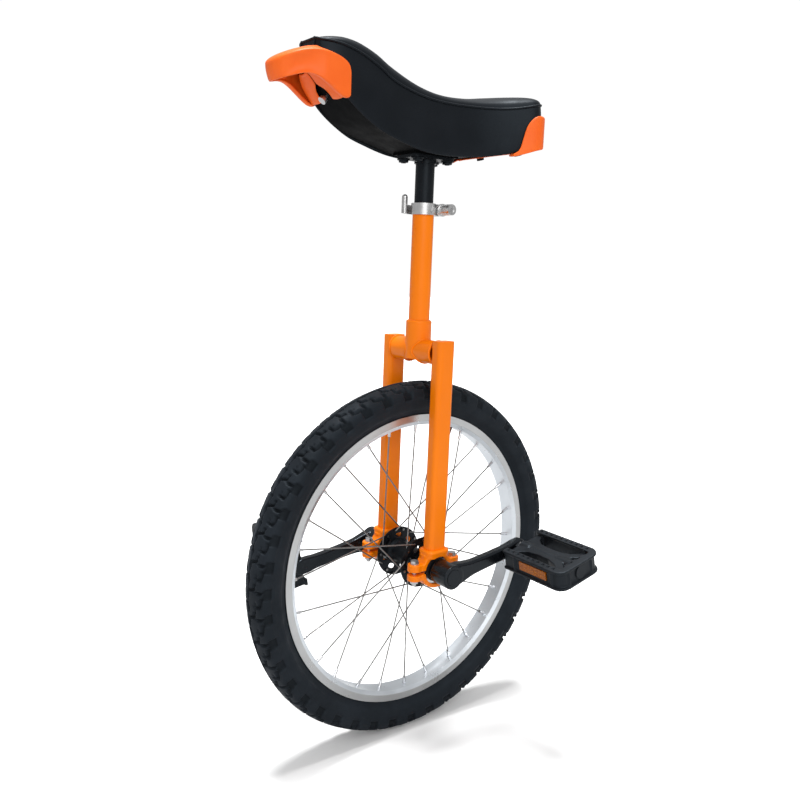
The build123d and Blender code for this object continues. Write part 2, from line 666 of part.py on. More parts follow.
def trim_bolt_lines():
    """The three trim bolts: one under the nose for the handle and two under the tail."""
    nose = [trim_bolt_line(NOSE_X, 0, NOSE_SLOPE)]
    tail = [trim_bolt_line(TAIL_X, y, TAIL_SLOPE) for y in (-TAIL_BOLT_Y, TAIL_BOLT_Y)]
    return nose + tail


def along_trim(line, radius, start, length):
    """A rod on a trim bolt's axis, its start measured up from the cover's lower edge."""
    point, up = line
    return rod(point + up * start, up, radius, length)


def saddle_pieces():
    """The cover, foam and base, cut from three lofts so that they only touch."""
    outer = saddle_loft()
    inside = saddle_loft(grow=-COVER_T, deeper=8.0, ends=-COVER_T)
    plate = plate_loft(BASE_RECESS, BASE_RECESS + BASE_T, extra=6.0)
    cover = outer - inside
    foam = (inside - plate).solids().sort_by(Axis.Z)[-1]
    base = inside & plate
    base += block(-36, 36, -24, 24, PAD_Z, PAD_Z + 5.5)
    foam -= block(-36, 36, -24, 24, PAD_Z - 1, PAD_Z + 5.5)
    for x, y in bracket_places():
        foam -= rod_z(9.0, PAD_Z, PAD_Z + 11, x, y)
        base -= rod_z(4.1, PAD_Z - 5, PAD_Z + 20, x, y)
        base -= rod_z(9.0, PAD_Z + 5.5, PAD_Z + 12, x, y)
    for line in trim_bolt_lines():
        foam -= along_trim(line, 7.0, -10.0, 28.0)
        base -= along_trim(line, 2.7, -10.0, 30.0)
        base -= along_trim(line, 6.0, TRIM_NUT_UP, 12.0)
    return outer, cover, foam, base


def side_prism(top, lip, half_width):
    """A solid with a curved top and bottom line in side view, as wide as asked."""
    upper = Spline(*[(x, AXLE_Z + z) for x, z in top])
    lower = Spline(*[(x, AXLE_Z + z) for x, z in lip])
    outline = make_face([upper, Line(upper @ 1, lower @ 0), lower, Line(lower @ 1, upper @ 0)])
    return extrude(Plane.XZ * outline, amount=half_width, both=True)


def plan_prism(rows):
    """A solid with a curved outline seen from above, as tall as the saddle."""
    left = Spline(*rows)
    right = Spline(*[(x, -y) for x, y in rows])
    outline = make_face([left, Line(left @ 1, right @ 1), right, Line(right @ 0, left @ 0)])
    return Pos(0, 0, AXLE_Z + 540) * extrude(outline, amount=160)


def front_handle():
    """The grip in front of the nose: a hollow beak with two arms along the nose's sides."""
    body = side_prism(HANDLE_TOP, HANDLE_LIP, 60) & plan_prism(HANDLE_SIDE)
    inner_top = [(x - 0.7 * HANDLE_T, z - HANDLE_T) for x, z in HANDLE_TOP]
    inner_lip = [(x - 0.7 * HANDLE_T, z - 60) for x, z in HANDLE_LIP]
    inner_side = [(x - 0.9 * HANDLE_T, y - 0.8 * HANDLE_T) for x, y in HANDLE_SIDE]
    body -= side_prism(inner_top, inner_lip, 60) & plan_prism(inner_side)
    nose = [(x, w + 2.2) for x, w, _, _, _ in SADDLE if x > 100]
    nose.append((NOSE_END + 4.2, nose[-1][1]))
    body -= plan_prism(nose)
    point, up = trim_bolt_line(NOSE_X, 0, NOSE_SLOPE)
    across = Plane(origin=point - up * 1.0, x_dir=(0, 1, 0), z_dir=up)
    body += extrude(across * Rectangle(81, 19), amount=-TRIM_TAB_T)
    body -= along_trim(trim_bolt_lines()[0], 2.7, -10.0, 12.0)
    return body


def rear_bumper():
    """A shell round the saddle's tail, with a slanted front edge and a shelf under the base."""
    shell = saddle_loft(grow=4.0, deeper=TRIM_TAB_T, ends=4.0) - saddle_loft(grow=0.3, ends=0.3)
    low, high = AXLE_Z + 545, AXLE_Z + 613
    outline = [(-160, low), (-92, low), (-97, AXLE_Z + 563), (-123, high), (-160, high)]
    side_view = Plane.XZ * make_face(Polyline(*outline, close=True))
    shell = shell & extrude(side_view, amount=120, both=True)
    shell -= block(-116, -80, -50, 50, AXLE_Z + 540, AXLE_Z + 600)
    for line in trim_bolt_lines()[1:]:
        shell -= along_trim(line, 2.7, -10.0, 12.0)
    return max(shell.solids(), key=lambda s: s.volume)


def trim_bolt(line):
    """A button-headed bolt up through the trim and the base."""
    return along_trim(line, 5.2, -9.0, 4.2) + along_trim(line, 2.5, -4.8, TRIM_NUT_UP + 9.0)


def trim_nut(line):
    return along_trim(line, 5.2, TRIM_NUT_UP, 3.6) - along_trim(line, 2.55, 0.0, 20.0)


def seat_bracket():
    """The plate welded on the post's top, bolted under the saddle's base."""
    plate = block(-34, 34, -22, 22, PAD_Z - BRACKET_T, PAD_Z)
    plate = fillet(plate.edges().filter_by(Axis.Z), 7)
    for x, y in bracket_places():
        plate -= rod_z(4.2, PAD_Z - 10, PAD_Z + 5, x, y)
    return plate


def seat_post():
    """The seat post: a 25.4 mm tube with a gusset ring below its bracket."""
    top = PAD_Z - BRACKET_T
    post = rod_z(POST_R, POST_BOTTOM, top) + rod_z(POST_R + 2.0, top - 5, top)
    return post - rod_z(POST_R - 2.0, POST_BOTTOM - 1, top - 6)


def saddle_bolt(x, y):
    """A carriage bolt whose round head lies on the base, inside the foam."""
    shank = rod_z(4.0, PAD_Z - BRACKET_T - 9, PAD_Z + 5.5, x, y)
    return shank + rod_z(8.5, PAD_Z + 5.5, PAD_Z + 9.5, x, y)


def saddle_nut(x, y):
    top = PAD_Z - BRACKET_T
    washer = rod_z(7.5, top - 1.4, top, x, y)
    nut = washer + hexagon_rod((x, y, top - 1.4), (0, 0, -1), 13, 6)
    return nut - rod_z(4.05, top - 20, top + 1, x, y)


def piping(outer):
    """The welt sewn round the cover's top seam: a closed strip that stands proud of it."""
    made = []
    for k, (x, half_width, _, seam, _) in enumerate(SADDLE):
        shift = -1.6 if k == 0 else 1.6 if k == len(SADDLE) - 1 else 0.0
        across = Plane(origin=(x + shift, 0, AXLE_Z + seam), x_dir=(0, 1, 0), z_dir=(1, 0, 0))
        made.append(across * Rectangle(2 * (0.94 * half_width + 1.6), 2.8))
    return loft(made) - outer


# ---- every node ---------------------------------------------------------------------
def make_wheel():
    nodes["tyre"] = tyre()
    nodes["inner_tube"] = inner_tube()
    nodes["rim_tape"] = rim_tape()
    nodes["rim"] = rim()
    nodes["valve_stem"] = valve_stem()
    nodes["spokes"] = group([spoke(k) for k in range(SPOKES)])
    nodes["nipples"] = group([nipple(k) for k in range(SPOKES)])
    nodes["hub_shell"] = hub_shell()
    nodes["axle"] = turned(axle(), 1)
    nodes["axle_spacers"] = spacers()
    nodes["bearing_inner_races"] = inner_races()
    for name, side in SIDES.items():
        nodes["crank_" + name] = turned(crank(side), side)
        nodes["pedal_spindle_" + name] = turned(spindle(side), side)
    nodes["dust_caps"] = group([turned(dust_cap(s), s) for s in SIDES.values()])
    nodes["crank_bolts"] = group([turned(crank_bolt(s), s) for s in SIDES.values()])
    nodes["spindle_nuts"] = group([turned(spindle_nut(s), s) for s in SIDES.values()])


def make_pedals():
    for name, side in SIDES.items():
        nodes["pedal_" + name] = pedal_place(pedal_frame(side), side)
        nodes["pedal_bushes_" + name] = pedal_place(pedal_bushes(side), side)
        nodes["pedal_reflectors_" + name] = pedal_place(pedal_reflectors(side), side)
        nodes["pedal_cap_" + name] = pedal_place(pedal_cap(side), side)


def make_frame():
    nodes["seat_tube"] = seat_tube()
    nodes["crown_lug"] = crown_lug()
    for name, side in SIDES.items():
        nodes["cross_tube_" + name] = cross_tube(side)
        nodes["fork_leg_" + name] = leg(side)
        nodes["bearing_housing_" + name] = housing(side)
        nodes["bearing_cap_" + name] = housing_cap(side)
    nodes["housing_bolts"] = group([housing_bolt(x, y) for x, y in ear_places()])
    nodes["housing_nuts"] = group([housing_nut(x, y) for x, y in ear_places()])
    nodes["bearing_outer_races"] = outer_races()
    nodes["bearing_balls"] = bearing_balls()
    nodes["bearing_shields"] = bearing_shields()
    nodes["seat_collar"] = seat_collar()
    nodes["skewer"] = skewer()
    nodes["skewer_washers"] = skewer_washers()
    nodes["skewer_nut"] = skewer_nut()
    nodes["lever_pin"] = lever_pin()
    nodes["quick_release_lever"] = lever()


def make_seat():
    outer, cover, foam, base = saddle_pieces()
    nodes["saddle_cover"] = cover
    nodes["saddle_foam"] = foam
    nodes["saddle_base"] = base
    nodes["saddle_piping"] = piping(outer)
    nodes["front_handle"] = front_handle()
    nodes["rear_bumper"] = rear_bumper()
    nodes["trim_bolts"] = group([trim_bolt(line) for line in trim_bolt_lines()])
    nodes["trim_nuts"] = group([trim_nut(line) for line in trim_bolt_lines()])
    nodes["seat_bracket"] = seat_bracket()
    nodes["seat_post"] = seat_post()
    nodes["saddle_bolts"] = group([saddle_bolt(x, y) for x, y in bracket_places()])
    nodes["saddle_nuts"] = group([saddle_nut(x, y) for x, y in bracket_places()])


def main():
    make_wheel()
    make_pedals()
    make_frame()
    make_seat()
    os.makedirs("parts", exist_ok=True)
    for name, shape in nodes.items():
        export_step(shape, os.path.join("parts", name + ".step"))
        print(name, len(shape.solids()), "solids", round(sum(s.volume for s in shape.solids())), "mm3")


main()
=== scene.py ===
"""Dresses the unicycle's fixed frame: tread, saddle, grips, pedals, castings, welds and all materials."""

import json
from math import atan2, cos, pi, radians, sin, sqrt

import bmesh
import bpy
from mathutils import Matrix, Vector

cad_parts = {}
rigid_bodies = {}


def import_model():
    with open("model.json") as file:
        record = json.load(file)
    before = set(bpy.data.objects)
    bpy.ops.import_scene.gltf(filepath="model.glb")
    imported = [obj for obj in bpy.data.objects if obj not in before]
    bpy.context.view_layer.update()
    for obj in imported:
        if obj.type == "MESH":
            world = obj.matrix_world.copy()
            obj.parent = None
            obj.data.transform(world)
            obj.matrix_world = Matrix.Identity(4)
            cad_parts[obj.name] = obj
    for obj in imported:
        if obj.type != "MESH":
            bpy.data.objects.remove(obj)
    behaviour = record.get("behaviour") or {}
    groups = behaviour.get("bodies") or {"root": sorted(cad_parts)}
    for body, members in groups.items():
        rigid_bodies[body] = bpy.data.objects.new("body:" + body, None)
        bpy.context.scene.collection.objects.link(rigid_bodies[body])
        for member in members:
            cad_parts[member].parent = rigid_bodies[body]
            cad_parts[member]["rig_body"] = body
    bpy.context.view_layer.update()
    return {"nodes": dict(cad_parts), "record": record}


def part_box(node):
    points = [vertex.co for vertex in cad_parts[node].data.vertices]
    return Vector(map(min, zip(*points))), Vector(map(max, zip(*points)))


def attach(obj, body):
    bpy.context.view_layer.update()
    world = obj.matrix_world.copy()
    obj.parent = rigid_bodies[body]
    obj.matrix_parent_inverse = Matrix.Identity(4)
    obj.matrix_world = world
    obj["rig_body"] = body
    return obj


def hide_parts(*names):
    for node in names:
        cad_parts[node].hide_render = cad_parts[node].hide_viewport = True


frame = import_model()
MM = 0.001
NODES = frame["nodes"]


def centre(node):
    """The middle of a node's box, in millimetres."""
    low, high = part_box(node)
    return [(a + b) / 2 / MM for a, b in zip(low, high)]


AXLE_Z = centre("tyre")[2]  # every height below is in millimetres above the axle
CRANK_LEFT = centre("pedal_spindle_left")
CRANK_ANGLE = atan2(CRANK_LEFT[2] - AXLE_Z, CRANK_LEFT[0])
CRANK_LENGTH = sqrt(CRANK_LEFT[0] ** 2 + (CRANK_LEFT[2] - AXLE_Z) ** 2)
SIDES = {"left": 1, "right": -1}


# ---- materials ----------------------------------------------------------------------
class Shader:
    """A node material built from object coordinates, so that it stays on its piece."""

    def __init__(self, name, **principled):
        self.material = bpy.data.materials.new(name)
        self.material.use_nodes = True
        self.tree = self.material.node_tree
        self.bsdf = self.tree.nodes["Principled BSDF"]
        for key, value in principled.items():
            self.bsdf.inputs[key.replace("_", " ")].default_value = value
        self.where = self.tree.nodes.new("ShaderNodeTexCoord").outputs["Object"]

    def cool(self):
        """Tints the gloss slightly blue: a painted bluish tint of the lamp light in the reflections of dark
        plastics, paint and rubber.
        """
        self.bsdf.inputs["Specular Tint"].default_value = (0.72, 0.87, 1.0, 1.0)

    def node(self, kind, **inputs):
        """A shader node with its named inputs fed by a value or by another node."""
        made = self.tree.nodes.new("ShaderNode" + kind)
        for key, value in inputs.items():
            self.feed(made.inputs[key.replace("_", " ")], value)
        return made

    def feed(self, socket, value):
        """Links a socket to another, or sets its value."""
        if isinstance(value, bpy.types.NodeSocket):
            self.tree.links.new(value, socket)
        else:
            socket.default_value = value

    def scaled(self, x, y, z):
        """Object coordinates stretched along each axis."""
        mapping = self.node("Mapping", Vector=self.where)
        mapping.inputs["Scale"].default_value = (x, y, z)
        return mapping.outputs["Vector"]

    def noise(self, scale, detail=3.0, rough=0.55, at=None):
        """Cloudy noise, from 0 to 1."""
        made = self.node("TexNoise", Vector=at or self.where, Scale=scale, Detail=detail, Roughness=rough)
        return made.outputs["Fac"]

    def cells(self, scale, feature="F1"):
        """Distance to the nearest of many scattered points."""
        made = self.node("TexVoronoi", Vector=self.where, Scale=scale)
        made.feature = feature
        return made.outputs["Distance"]

    def attribute(self, name):
        """A number stored on the mesh's points; 0 where the mesh has none."""
        made = self.tree.nodes.new("ShaderNodeAttribute")
        made.attribute_name = name
        return made.outputs["Fac"]

    def math(self, operation, a, b):
        """A sum, difference or product of two values."""
        made = self.tree.nodes.new("ShaderNodeMath")
        made.operation = operation
        self.feed(made.inputs[0], a)
        self.feed(made.inputs[1], b)
        return made.outputs[0]

    def spread(self, value, low, high, out_low=0.0, out_high=1.0):
        """A value mapped from one range to another and held inside it."""
        made = self.node("MapRange", Value=value)
        ends = (("From Min", low), ("From Max", high), ("To Min", out_low), ("To Max", out_high))
        for key, number in ends:
            made.inputs[key].default_value = number
        return made.outputs["Result"]

    def ramp(self, value, stops):
        """A colour between stops, each a place and a colour."""
        made = self.node("ValToRGB", Fac=value)
        ramp = made.color_ramp
        while len(ramp.elements) < len(stops):
            ramp.elements.new(0.5)
        for element, (place, colour) in zip(ramp.elements, stops):
            element.position = place
            element.color = (*colour, 1.0)
        return made.outputs["Color"]

    def colour(self, value, *stops):
        """Base colour between stops, by a noise value."""
        self.feed(self.bsdf.inputs["Base Color"], self.ramp(value, stops))

    def rough(self, value, low, high):
        """Roughness between low and high, by a noise value."""
        self.feed(self.bsdf.inputs["Roughness"], self.spread(value, 0.3, 0.7, low, high))

    def bump(self, value, height, strength=1.0):
        """Adds a bump, in metres of height, on top of any bump made before."""
        made = self.node("Bump", Height=value, Strength=strength, Distance=height)
        normal = self.bsdf.inputs["Normal"]
        if normal.is_linked:
            self.tree.links.new(normal.links[0].from_socket, made.inputs["Normal"])
        self.tree.links.new(made.outputs["Normal"], normal)


def powder_coat():
    s = Shader("orange_powder_coat", Specular_IOR_Level=0.22, Coat_Weight=0.06, Coat_Roughness=0.12)
    wide, fine = s.noise(9, 2), s.noise(900, 2)
    s.colour(wide, (0.3, (0.93, 0.2, 0.0)), (0.7, (1.0, 0.23, 0.0)))
    s.rough(s.noise(60, 4), 0.28, 0.4)
    s.bump(fine, 0.00006, 0.5)
    s.bump(s.noise(160, 2), 0.00012, 0.35)
    return s.material


def moulded_orange():
    s = Shader("orange_moulding", Specular_IOR_Level=0.3, Subsurface_Weight=0.06, Subsurface_Scale=0.004)
    s.colour(s.noise(14, 3), (0.25, (0.93, 0.13, 0.008)), (0.75, (1.0, 0.16, 0.012)))
    s.rough(s.noise(120, 3), 0.38, 0.5)
    s.bump(s.cells(1400), 0.00004, 0.5)
    s.bump(s.noise(40, 2), 0.0003, 0.2)
    return s.material


def vinyl():
    s = Shader("saddle_vinyl", Specular_IOR_Level=0.22, Sheen_Weight=0.04, Sheen_Roughness=0.35)
    s.cool()
    # Painted sheen: the sheen is tinted blue, standing in for bluish lamp light.
    s.bsdf.inputs["Sheen Tint"].default_value = (0.5, 0.6, 0.8, 1)
    s.colour(s.noise(20, 4), (0.3, (0.003, 0.0036, 0.005)), (0.7, (0.0055, 0.0064, 0.0085)))
    s.rough(s.noise(35, 4), 0.41, 0.49)
    grain = s.cells(1050, "SMOOTH_F1")
    s.bump(grain, 0.00012, 0.55)
    s.bump(s.noise(90, 4, 0.6), 0.0004, 0.35)
    return s.material


def black_metal(name, low, high, rough, grit, gloss=0.2):
    """Satin black paint over metal with a faint orange-peel skin."""
    s = Shader(name, Specular_IOR_Level=gloss, Coat_Weight=0.05, Coat_Roughness=0.2)
    s.cool()
    s.colour(s.noise(25, 4), (0.3, low), (0.75, high))
    s.rough(s.noise(80, 4), rough - 0.05, rough + 0.08)
    s.bump(s.noise(700, 2), grit, 0.6)
    return s.material


def moulded_black(name, base, rough, texture, gloss=0.3):
    """Black plastic or rubber with a fine moulded grain."""
    s = Shader(name, Specular_IOR_Level=gloss)
    s.cool()
    s.colour(s.noise(30, 4), (0.3, tuple(0.8 * c for c in base)), (0.7, tuple(1.25 * c for c in base)))
    s.rough(s.noise(60, 3), rough - 0.06, rough + 0.08)
    s.bump(s.cells(texture), 0.00006, 0.7)
    return s.material


def tyre_rubber():
    s = Shader("tyre_rubber", Specular_IOR_Level=0.25, Sheen_Weight=0.03, Sheen_Roughness=0.5)
    s.cool()
    # Painted sheen: the sheen is tinted blue, standing in for bluish lamp light.
    s.bsdf.inputs["Sheen Tint"].default_value = (0.5, 0.62, 0.85, 1)
    # Painted shade: the colour darkens with the stored groove depth (cut), so groove floors are painted
    # darker than knob tops, down to the first colour; the noise adds random tone.
    tone_and_groove_shade = s.math("SUBTRACT", s.noise(18, 5, 0.65), s.math("MULTIPLY", s.attribute("cut"), 0.4))
    floor, low, high = (0.0008, 0.001, 0.0014), (0.0055, 0.007, 0.0094), (0.0095, 0.012, 0.016)
    s.colour(tone_and_groove_shade, (0.0, floor), (0.4, low), (0.72, high))
    s.rough(s.noise(45, 4), 0.5, 0.7)
    s.bump(s.noise(1200, 3), 0.0001, 0.6)
    s.bump(s.noise(150, 3), 0.0002, 0.4)
    return s.material


BRAKE_TRACK = (0.1985, 0.2005)  # radii in metres between which the rim turns from channel to brake track


def satin_rim():
    """Brushed aluminium: duller brake tracks outside, and inside a channel with a painted reflection, its
    colour brighter and bluish.
    """
    s = Shader("satin_aluminium", Metallic=1.0, Anisotropic=0.35)
    level = s.node("Mapping", Vector=s.where)
    level.inputs["Location"].default_value = (0, 0, -AXLE_Z * MM)
    level.inputs["Scale"].default_value = (1, 0, 1)
    reach = s.tree.nodes.new("ShaderNodeVectorMath")
    reach.operation = "LENGTH"
    s.feed(reach.inputs[0], level.outputs["Vector"])
    track = s.spread(reach.outputs["Value"], *BRAKE_TRACK)
    shade = s.math("SUBTRACT", s.math("MULTIPLY", s.noise(12, 3), 0.3), s.math("MULTIPLY", track, -0.7))
    # Painted reflection: the channel's colour is brighter and bluish, standing in for the light it reflects;
    # the duller brake tracks are the rim's own finish.
    channel_painted_reflection = ((0.1, (0.84, 0.89, 0.94)), (0.25, (0.9, 0.95, 1.0)))
    tracks = ((0.8, (0.56, 0.57, 0.575)), (0.9, (0.66, 0.67, 0.675)))
    s.colour(shade, *channel_painted_reflection, *tracks)
    s.rough(s.noise(50, 4), 0.26, 0.4)
    s.bump(s.noise(1, 3, at=s.scaled(500, 3500, 500)), 0.00002, 0.5)
    return s.material


def bright_metal(name, low, high, rough, brush=(900, 900, 900)):
    """Bare metal with fine brush marks, as dense along each axis as brush says."""
    s = Shader(name, Metallic=1.0)
    s.colour(s.noise(40, 4), (0.25, low), (0.75, high))
    s.rough(s.noise(90, 4), rough - 0.06, rough + 0.08)
    s.bump(s.noise(1, 2, at=s.scaled(*brush)), 0.00002, 0.6)
    return s.material


def trim_screws():
    """Zinc steel under the nose and black steel under the tail."""
    s = Shader("trim_screws", Metallic=1.0)
    along = s.tree.nodes.new("ShaderNodeSeparateXYZ")
    s.feed(along.inputs[0], s.where)
    place = s.math("ADD", along.outputs["X"], s.math("MULTIPLY", s.noise(300, 2), 0.02))
    s.colour(s.spread(place, -0.1, 0.1), (0.3, (0.012, 0.012, 0.014)), (0.7, (0.6, 0.6, 0.61)))
    s.rough(s.noise(90, 4), 0.24, 0.4)
    s.bump(s.noise(1100, 2), 0.00002, 0.5)
    return s.material


def amber_reflector():
    s = Shader("amber_reflector", Roughness=0.2, Specular_IOR_Level=0.25, Coat_Weight=0.25)
    facets = s.cells(520)
    s.colour(facets, (0.1, (0.62, 0.19, 0.003)), (0.5, (0.3, 0.075, 0.001)))
    s.bump(facets, 0.0006, 0.6)
    return s.material


def foam():
    s = Shader("open_foam", Roughness=0.95)
    s.colour(s.noise(200, 4), (0.3, (0.42, 0.38, 0.27)), (0.7, (0.56, 0.52, 0.40)))
    s.bump(s.cells(900), 0.0004)
    return s.material


# The darkest and lightest colour of each metal and paint.
ALUMINIUM = ((0.6, 0.6, 0.6), (0.76, 0.76, 0.76))
SPOKE_STEEL = ((0.2, 0.195, 0.19), (0.3, 0.295, 0.29))
STEEL = ((0.52, 0.52, 0.53), (0.68, 0.68, 0.69))
POLISHED = ((0.62, 0.62, 0.63), (0.76, 0.76, 0.77))
BRONZE = ((0.45, 0.27, 0.1), (0.6, 0.4, 0.18))
BLACK_PAINT = ((0.004, 0.0045, 0.0055), (0.007, 0.008, 0.01))
CRANK_PAINT = ((0.002, 0.0023, 0.003), (0.004, 0.0045, 0.006))
MATERIALS = {
    "frame_paint": powder_coat(),
    "trim_plastic": moulded_orange(),
    "saddle_vinyl": vinyl(),
    "saddle_foam": foam(),
    "base_plastic": moulded_black("base_plastic", (0.002, 0.002, 0.0022), 0.55, 900, 0.03),
    "pedal_plastic": moulded_black("pedal_plastic", (0.0075, 0.0085, 0.0105), 0.42, 1300),
    "seal_rubber": moulded_black("seal_rubber", (0.012, 0.012, 0.013), 0.6, 1500),
    "tube_rubber": moulded_black("tube_rubber", (0.012, 0.012, 0.012), 0.6, 1200),
    "tyre_rubber": tyre_rubber(),
    "black_paint": black_metal("black_paint", *BLACK_PAINT, 0.36, 0.00004),
    "crank_paint": black_metal("crank_paint", *CRANK_PAINT, 0.2, 0.00003, 0.32),
    "rim_aluminium": satin_rim(),
    "clamp_aluminium": bright_metal("clamp_aluminium", *ALUMINIUM, 0.3, (400, 400, 4000)),
    "zinc_steel": bright_metal("zinc_steel", *STEEL, 0.28),
    "bearing_steel": bright_metal("bearing_steel", *STEEL, 0.2),
    "polished_steel": bright_metal("polished_steel", *POLISHED, 0.17),
    "bush_bronze": bright_metal("bush_bronze", *BRONZE, 0.35),
    "reflector": amber_reflector(),
}


# ---- mesh helpers, in millimetres from the axle -------------------------------------
def axle_frame():
    """From millimetres about the axle to metres in the row frame."""
    return Matrix.Translation((0, 0, AXLE_Z * MM)) @ Matrix.Scale(MM, 4)


def piece(name, shape, slot, body, *stands_for, place=None):
    """A mesh object from (vertices, faces), on a body, in place of some CAD nodes."""
    points, faces = shape
    mesh = bpy.data.meshes.new(name)
    mesh.from_pydata([tuple(p) for p in points], [], faces)
    mesh.transform(axle_frame() @ (place or Matrix.Identity(4)))
    made = bmesh.new()
    made.from_mesh(mesh)
    bmesh.ops.remove_doubles(made, verts=made.verts, dist=1e-6)
    bmesh.ops.recalc_face_normals(made, faces=made.faces)
    made.to_mesh(mesh)
    made.free()
    mesh.materials.append(MATERIALS[slot])
    mesh.shade_smooth()
    obj = bpy.data.objects.new(name, mesh)
    bpy.context.scene.collection.objects.link(obj)
    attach(obj, body)
    if stands_for:
        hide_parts(*stands_for)
    return obj


def modify(obj, kind, **settings):
    """Adds a modifier with these settings."""
    made = obj.modifiers.new(kind.lower(), kind)
    for key, value in settings.items():
        setattr(made, key, value)
    return made


def settle(obj):
    """Applies every modifier to the mesh."""
    graph = bpy.context.evaluated_depsgraph_get()
    mesh = bpy.data.meshes.new_from_object(obj.evaluated_get(graph), depsgraph=graph)
    obj.modifiers.clear()
    obj.data = mesh
    mesh.shade_smooth()


def skin(rings, closed=False):
    """A tube through rings of points, as (vertices, faces), its ends capped unless it closes on itself."""
    n = len(rings[0])
    count = len(rings)
    faces = []
    for i in range(count if closed else count - 1):
        a, b = i * n, (i + 1) % count * n
        faces += [(a + j, a + (j + 1) % n, b + (j + 1) % n, b + j) for j in range(n)]
    if not closed:
        faces.append(tuple(range(n))[::-1])
        faces.append(tuple(range((count - 1) * n, count * n)))
    return [p for ring in rings for p in ring], faces


def sheet_grid(rows):
    """An open grid of points as (vertices, faces)."""
    n = len(rows[0])
    faces = []
    for i in range(len(rows) - 1):
        faces += [(i * n + j, i * n + j + 1, (i + 1) * n + j + 1, (i + 1) * n + j) for j in range(n - 1)]
    return [p for row in rows for p in row], faces


def joined(*shapes):
    """Several (vertices, faces) shapes as one."""
    points, faces = [], []
    for more_points, more_faces in shapes:
        start = len(points)
        points += list(more_points)
        faces += [tuple(start + i for i in face) for face in more_faces]
    return points, faces


def rod(a, b, radius, radius_b=None, steps=32):
    """A round bar between two points, its radius running to radius_b."""
    a, b = Vector(a), Vector(b)
    along = (b - a).normalized()
    side = along.orthogonal().normalized()
    up = along.cross(side)
    rings = []
    for point, r in ((a, radius), (b, radius if radius_b is None else radius_b)):
        turns = (2 * pi * k / steps for k in range(steps))
        rings.append([point + r * (cos(t) * side + sin(t) * up) for t in turns])
    return skin(rings)


def rounded_box(half_x, half_y, corner, x=0.0, y=0.0, steps=6):
    """A closed outline: a rectangle with round corners."""
    outline = []
    for quarter, (sx, sy) in enumerate(((1, 1), (-1, 1), (-1, -1), (1, -1))):
        for k in range(steps + 1):
            turn = (quarter + k / steps) * pi / 2
            cx, cy = sx * (half_x - corner), sy * (half_y - corner)
            outline.append((x + cx + corner * cos(turn), y + cy + corner * sin(turn)))
    return outline


def prism(outline, low, high):
    """A closed outline drawn out between two heights."""
    return skin([[(x, y, z) for x, y in outline] for z in (low, high)])


def between(a, b, c, d, t):
    """The Catmull-Rom value a share t of the way from b to c."""
    square = (2 * a - 5 * b + 4 * c - d) * t**2
    cube = (3 * b - a - 3 * c + d) * t**3
    return 0.5 * (2 * b + (c - a) * t + square + cube)


def spline(points, per_span):
    """A smooth run through points with any number of values."""
    ends = [points[0]] + list(points) + [points[-1]]
    run = []
    for p0, p1, p2, p3 in zip(ends, ends[1:], ends[2:], ends[3:]):
        for k in range(per_span):
            run.append(tuple(between(*four, k / per_span) for four in zip(p0, p1, p2, p3)))
    return run + [tuple(points[-1])]


BEAD_SIDES = 8
RIPPLE_PITCH = 2.2  # distance between a weld's ripples
NEVER_ALONG = Vector((0.13, 0.21, 0.97))  # a direction that no bead runs in


def bead(path, radius, closed=True, ripple=0.0):
    """A tube along a line, its radius rippled for a weld."""
    points = [Vector(p) for p in path]
    count = len(points)
    rings = []
    travelled = 0.0
    for i, point in enumerate(points):
        before = points[i - 1] if i or closed else point
        after = points[(i + 1) % count] if i < count - 1 or closed else point
        along = (after - before).normalized()
        side = along.cross(NEVER_ALONG).normalized()
        up = side.cross(along)
        r = radius * (1 - ripple * abs(sin(pi * travelled / RIPPLE_PITCH)))
        turns = (2 * pi * k / BEAD_SIDES for k in range(BEAD_SIDES))
        rings.append([point + r * (cos(t) * side + sin(t) * up) for t in turns])
        travelled += (points[(i + 1) % count] - point).length
    return skin(rings, closed=closed)


def fuse(obj, voxel, rounds):
    """Turns overlapping closed shapes into one skin with soft inner corners. Voxel size in millimetres."""
    modify(obj, "REMESH", mode="VOXEL", voxel_size=voxel * MM)
    modify(obj, "SMOOTH", factor=0.5, iterations=rounds)
    settle(obj)


def carve(obj, shape, place=None):
    """Cuts a closed shape out of a piece."""
    cutter = piece("cutter", shape, "frame_paint", obj["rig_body"], place=place)
    modify(obj, "BOOLEAN", operation="DIFFERENCE", solver="EXACT", object=cutter)
    settle(obj)
    bpy.data.objects.remove(cutter)


def smooth_step(value, low, high):
    """0 below low, 1 above high, and an S curve between them."""
    t = min(max((value - low) / (high - low), 0.0), 1.0)
    return t * t * (3 - 2 * t)


# ---- tyre ---------------------------------------------------------------------------
PITCHES = 44  # the tread's blocks repeat this many times round the tyre
RINGS = 32  # mesh rings in one repeat
PITCH = 2 * pi * 250 / PITCHES  # one repeat's length along the tread
TREAD_DEPTH = 4.6
SHOULDER = 25.0  # half width, where the grooves are shallowest and cut sideways the most
# Half sections, each point half a width and a radius.
SIDEWALL = [(13.0, 203.6), (13.3, 209.6), (16.3, 213.0), (17.0, 214.6), (20.4, 218.4), (21.2, 219.4)]
SIDEWALL += [(22.9, 223.8), (23.7, 228.5), (23.9, 229.2), (23.7, 233.4)]
TREAD = [(24.9, 235.6), (24.6, 239.6), (22.9, 244.0), (19.4, 247.8)]
TREAD += [(14.0, 250.6), (8.0, 252.7), (3.0, 253.8), (0.0, 254.0)]
LINING = [(18.0, 240.5), (21.0, 231.0), (18.0, 219.5), (10.2, 209.5)]
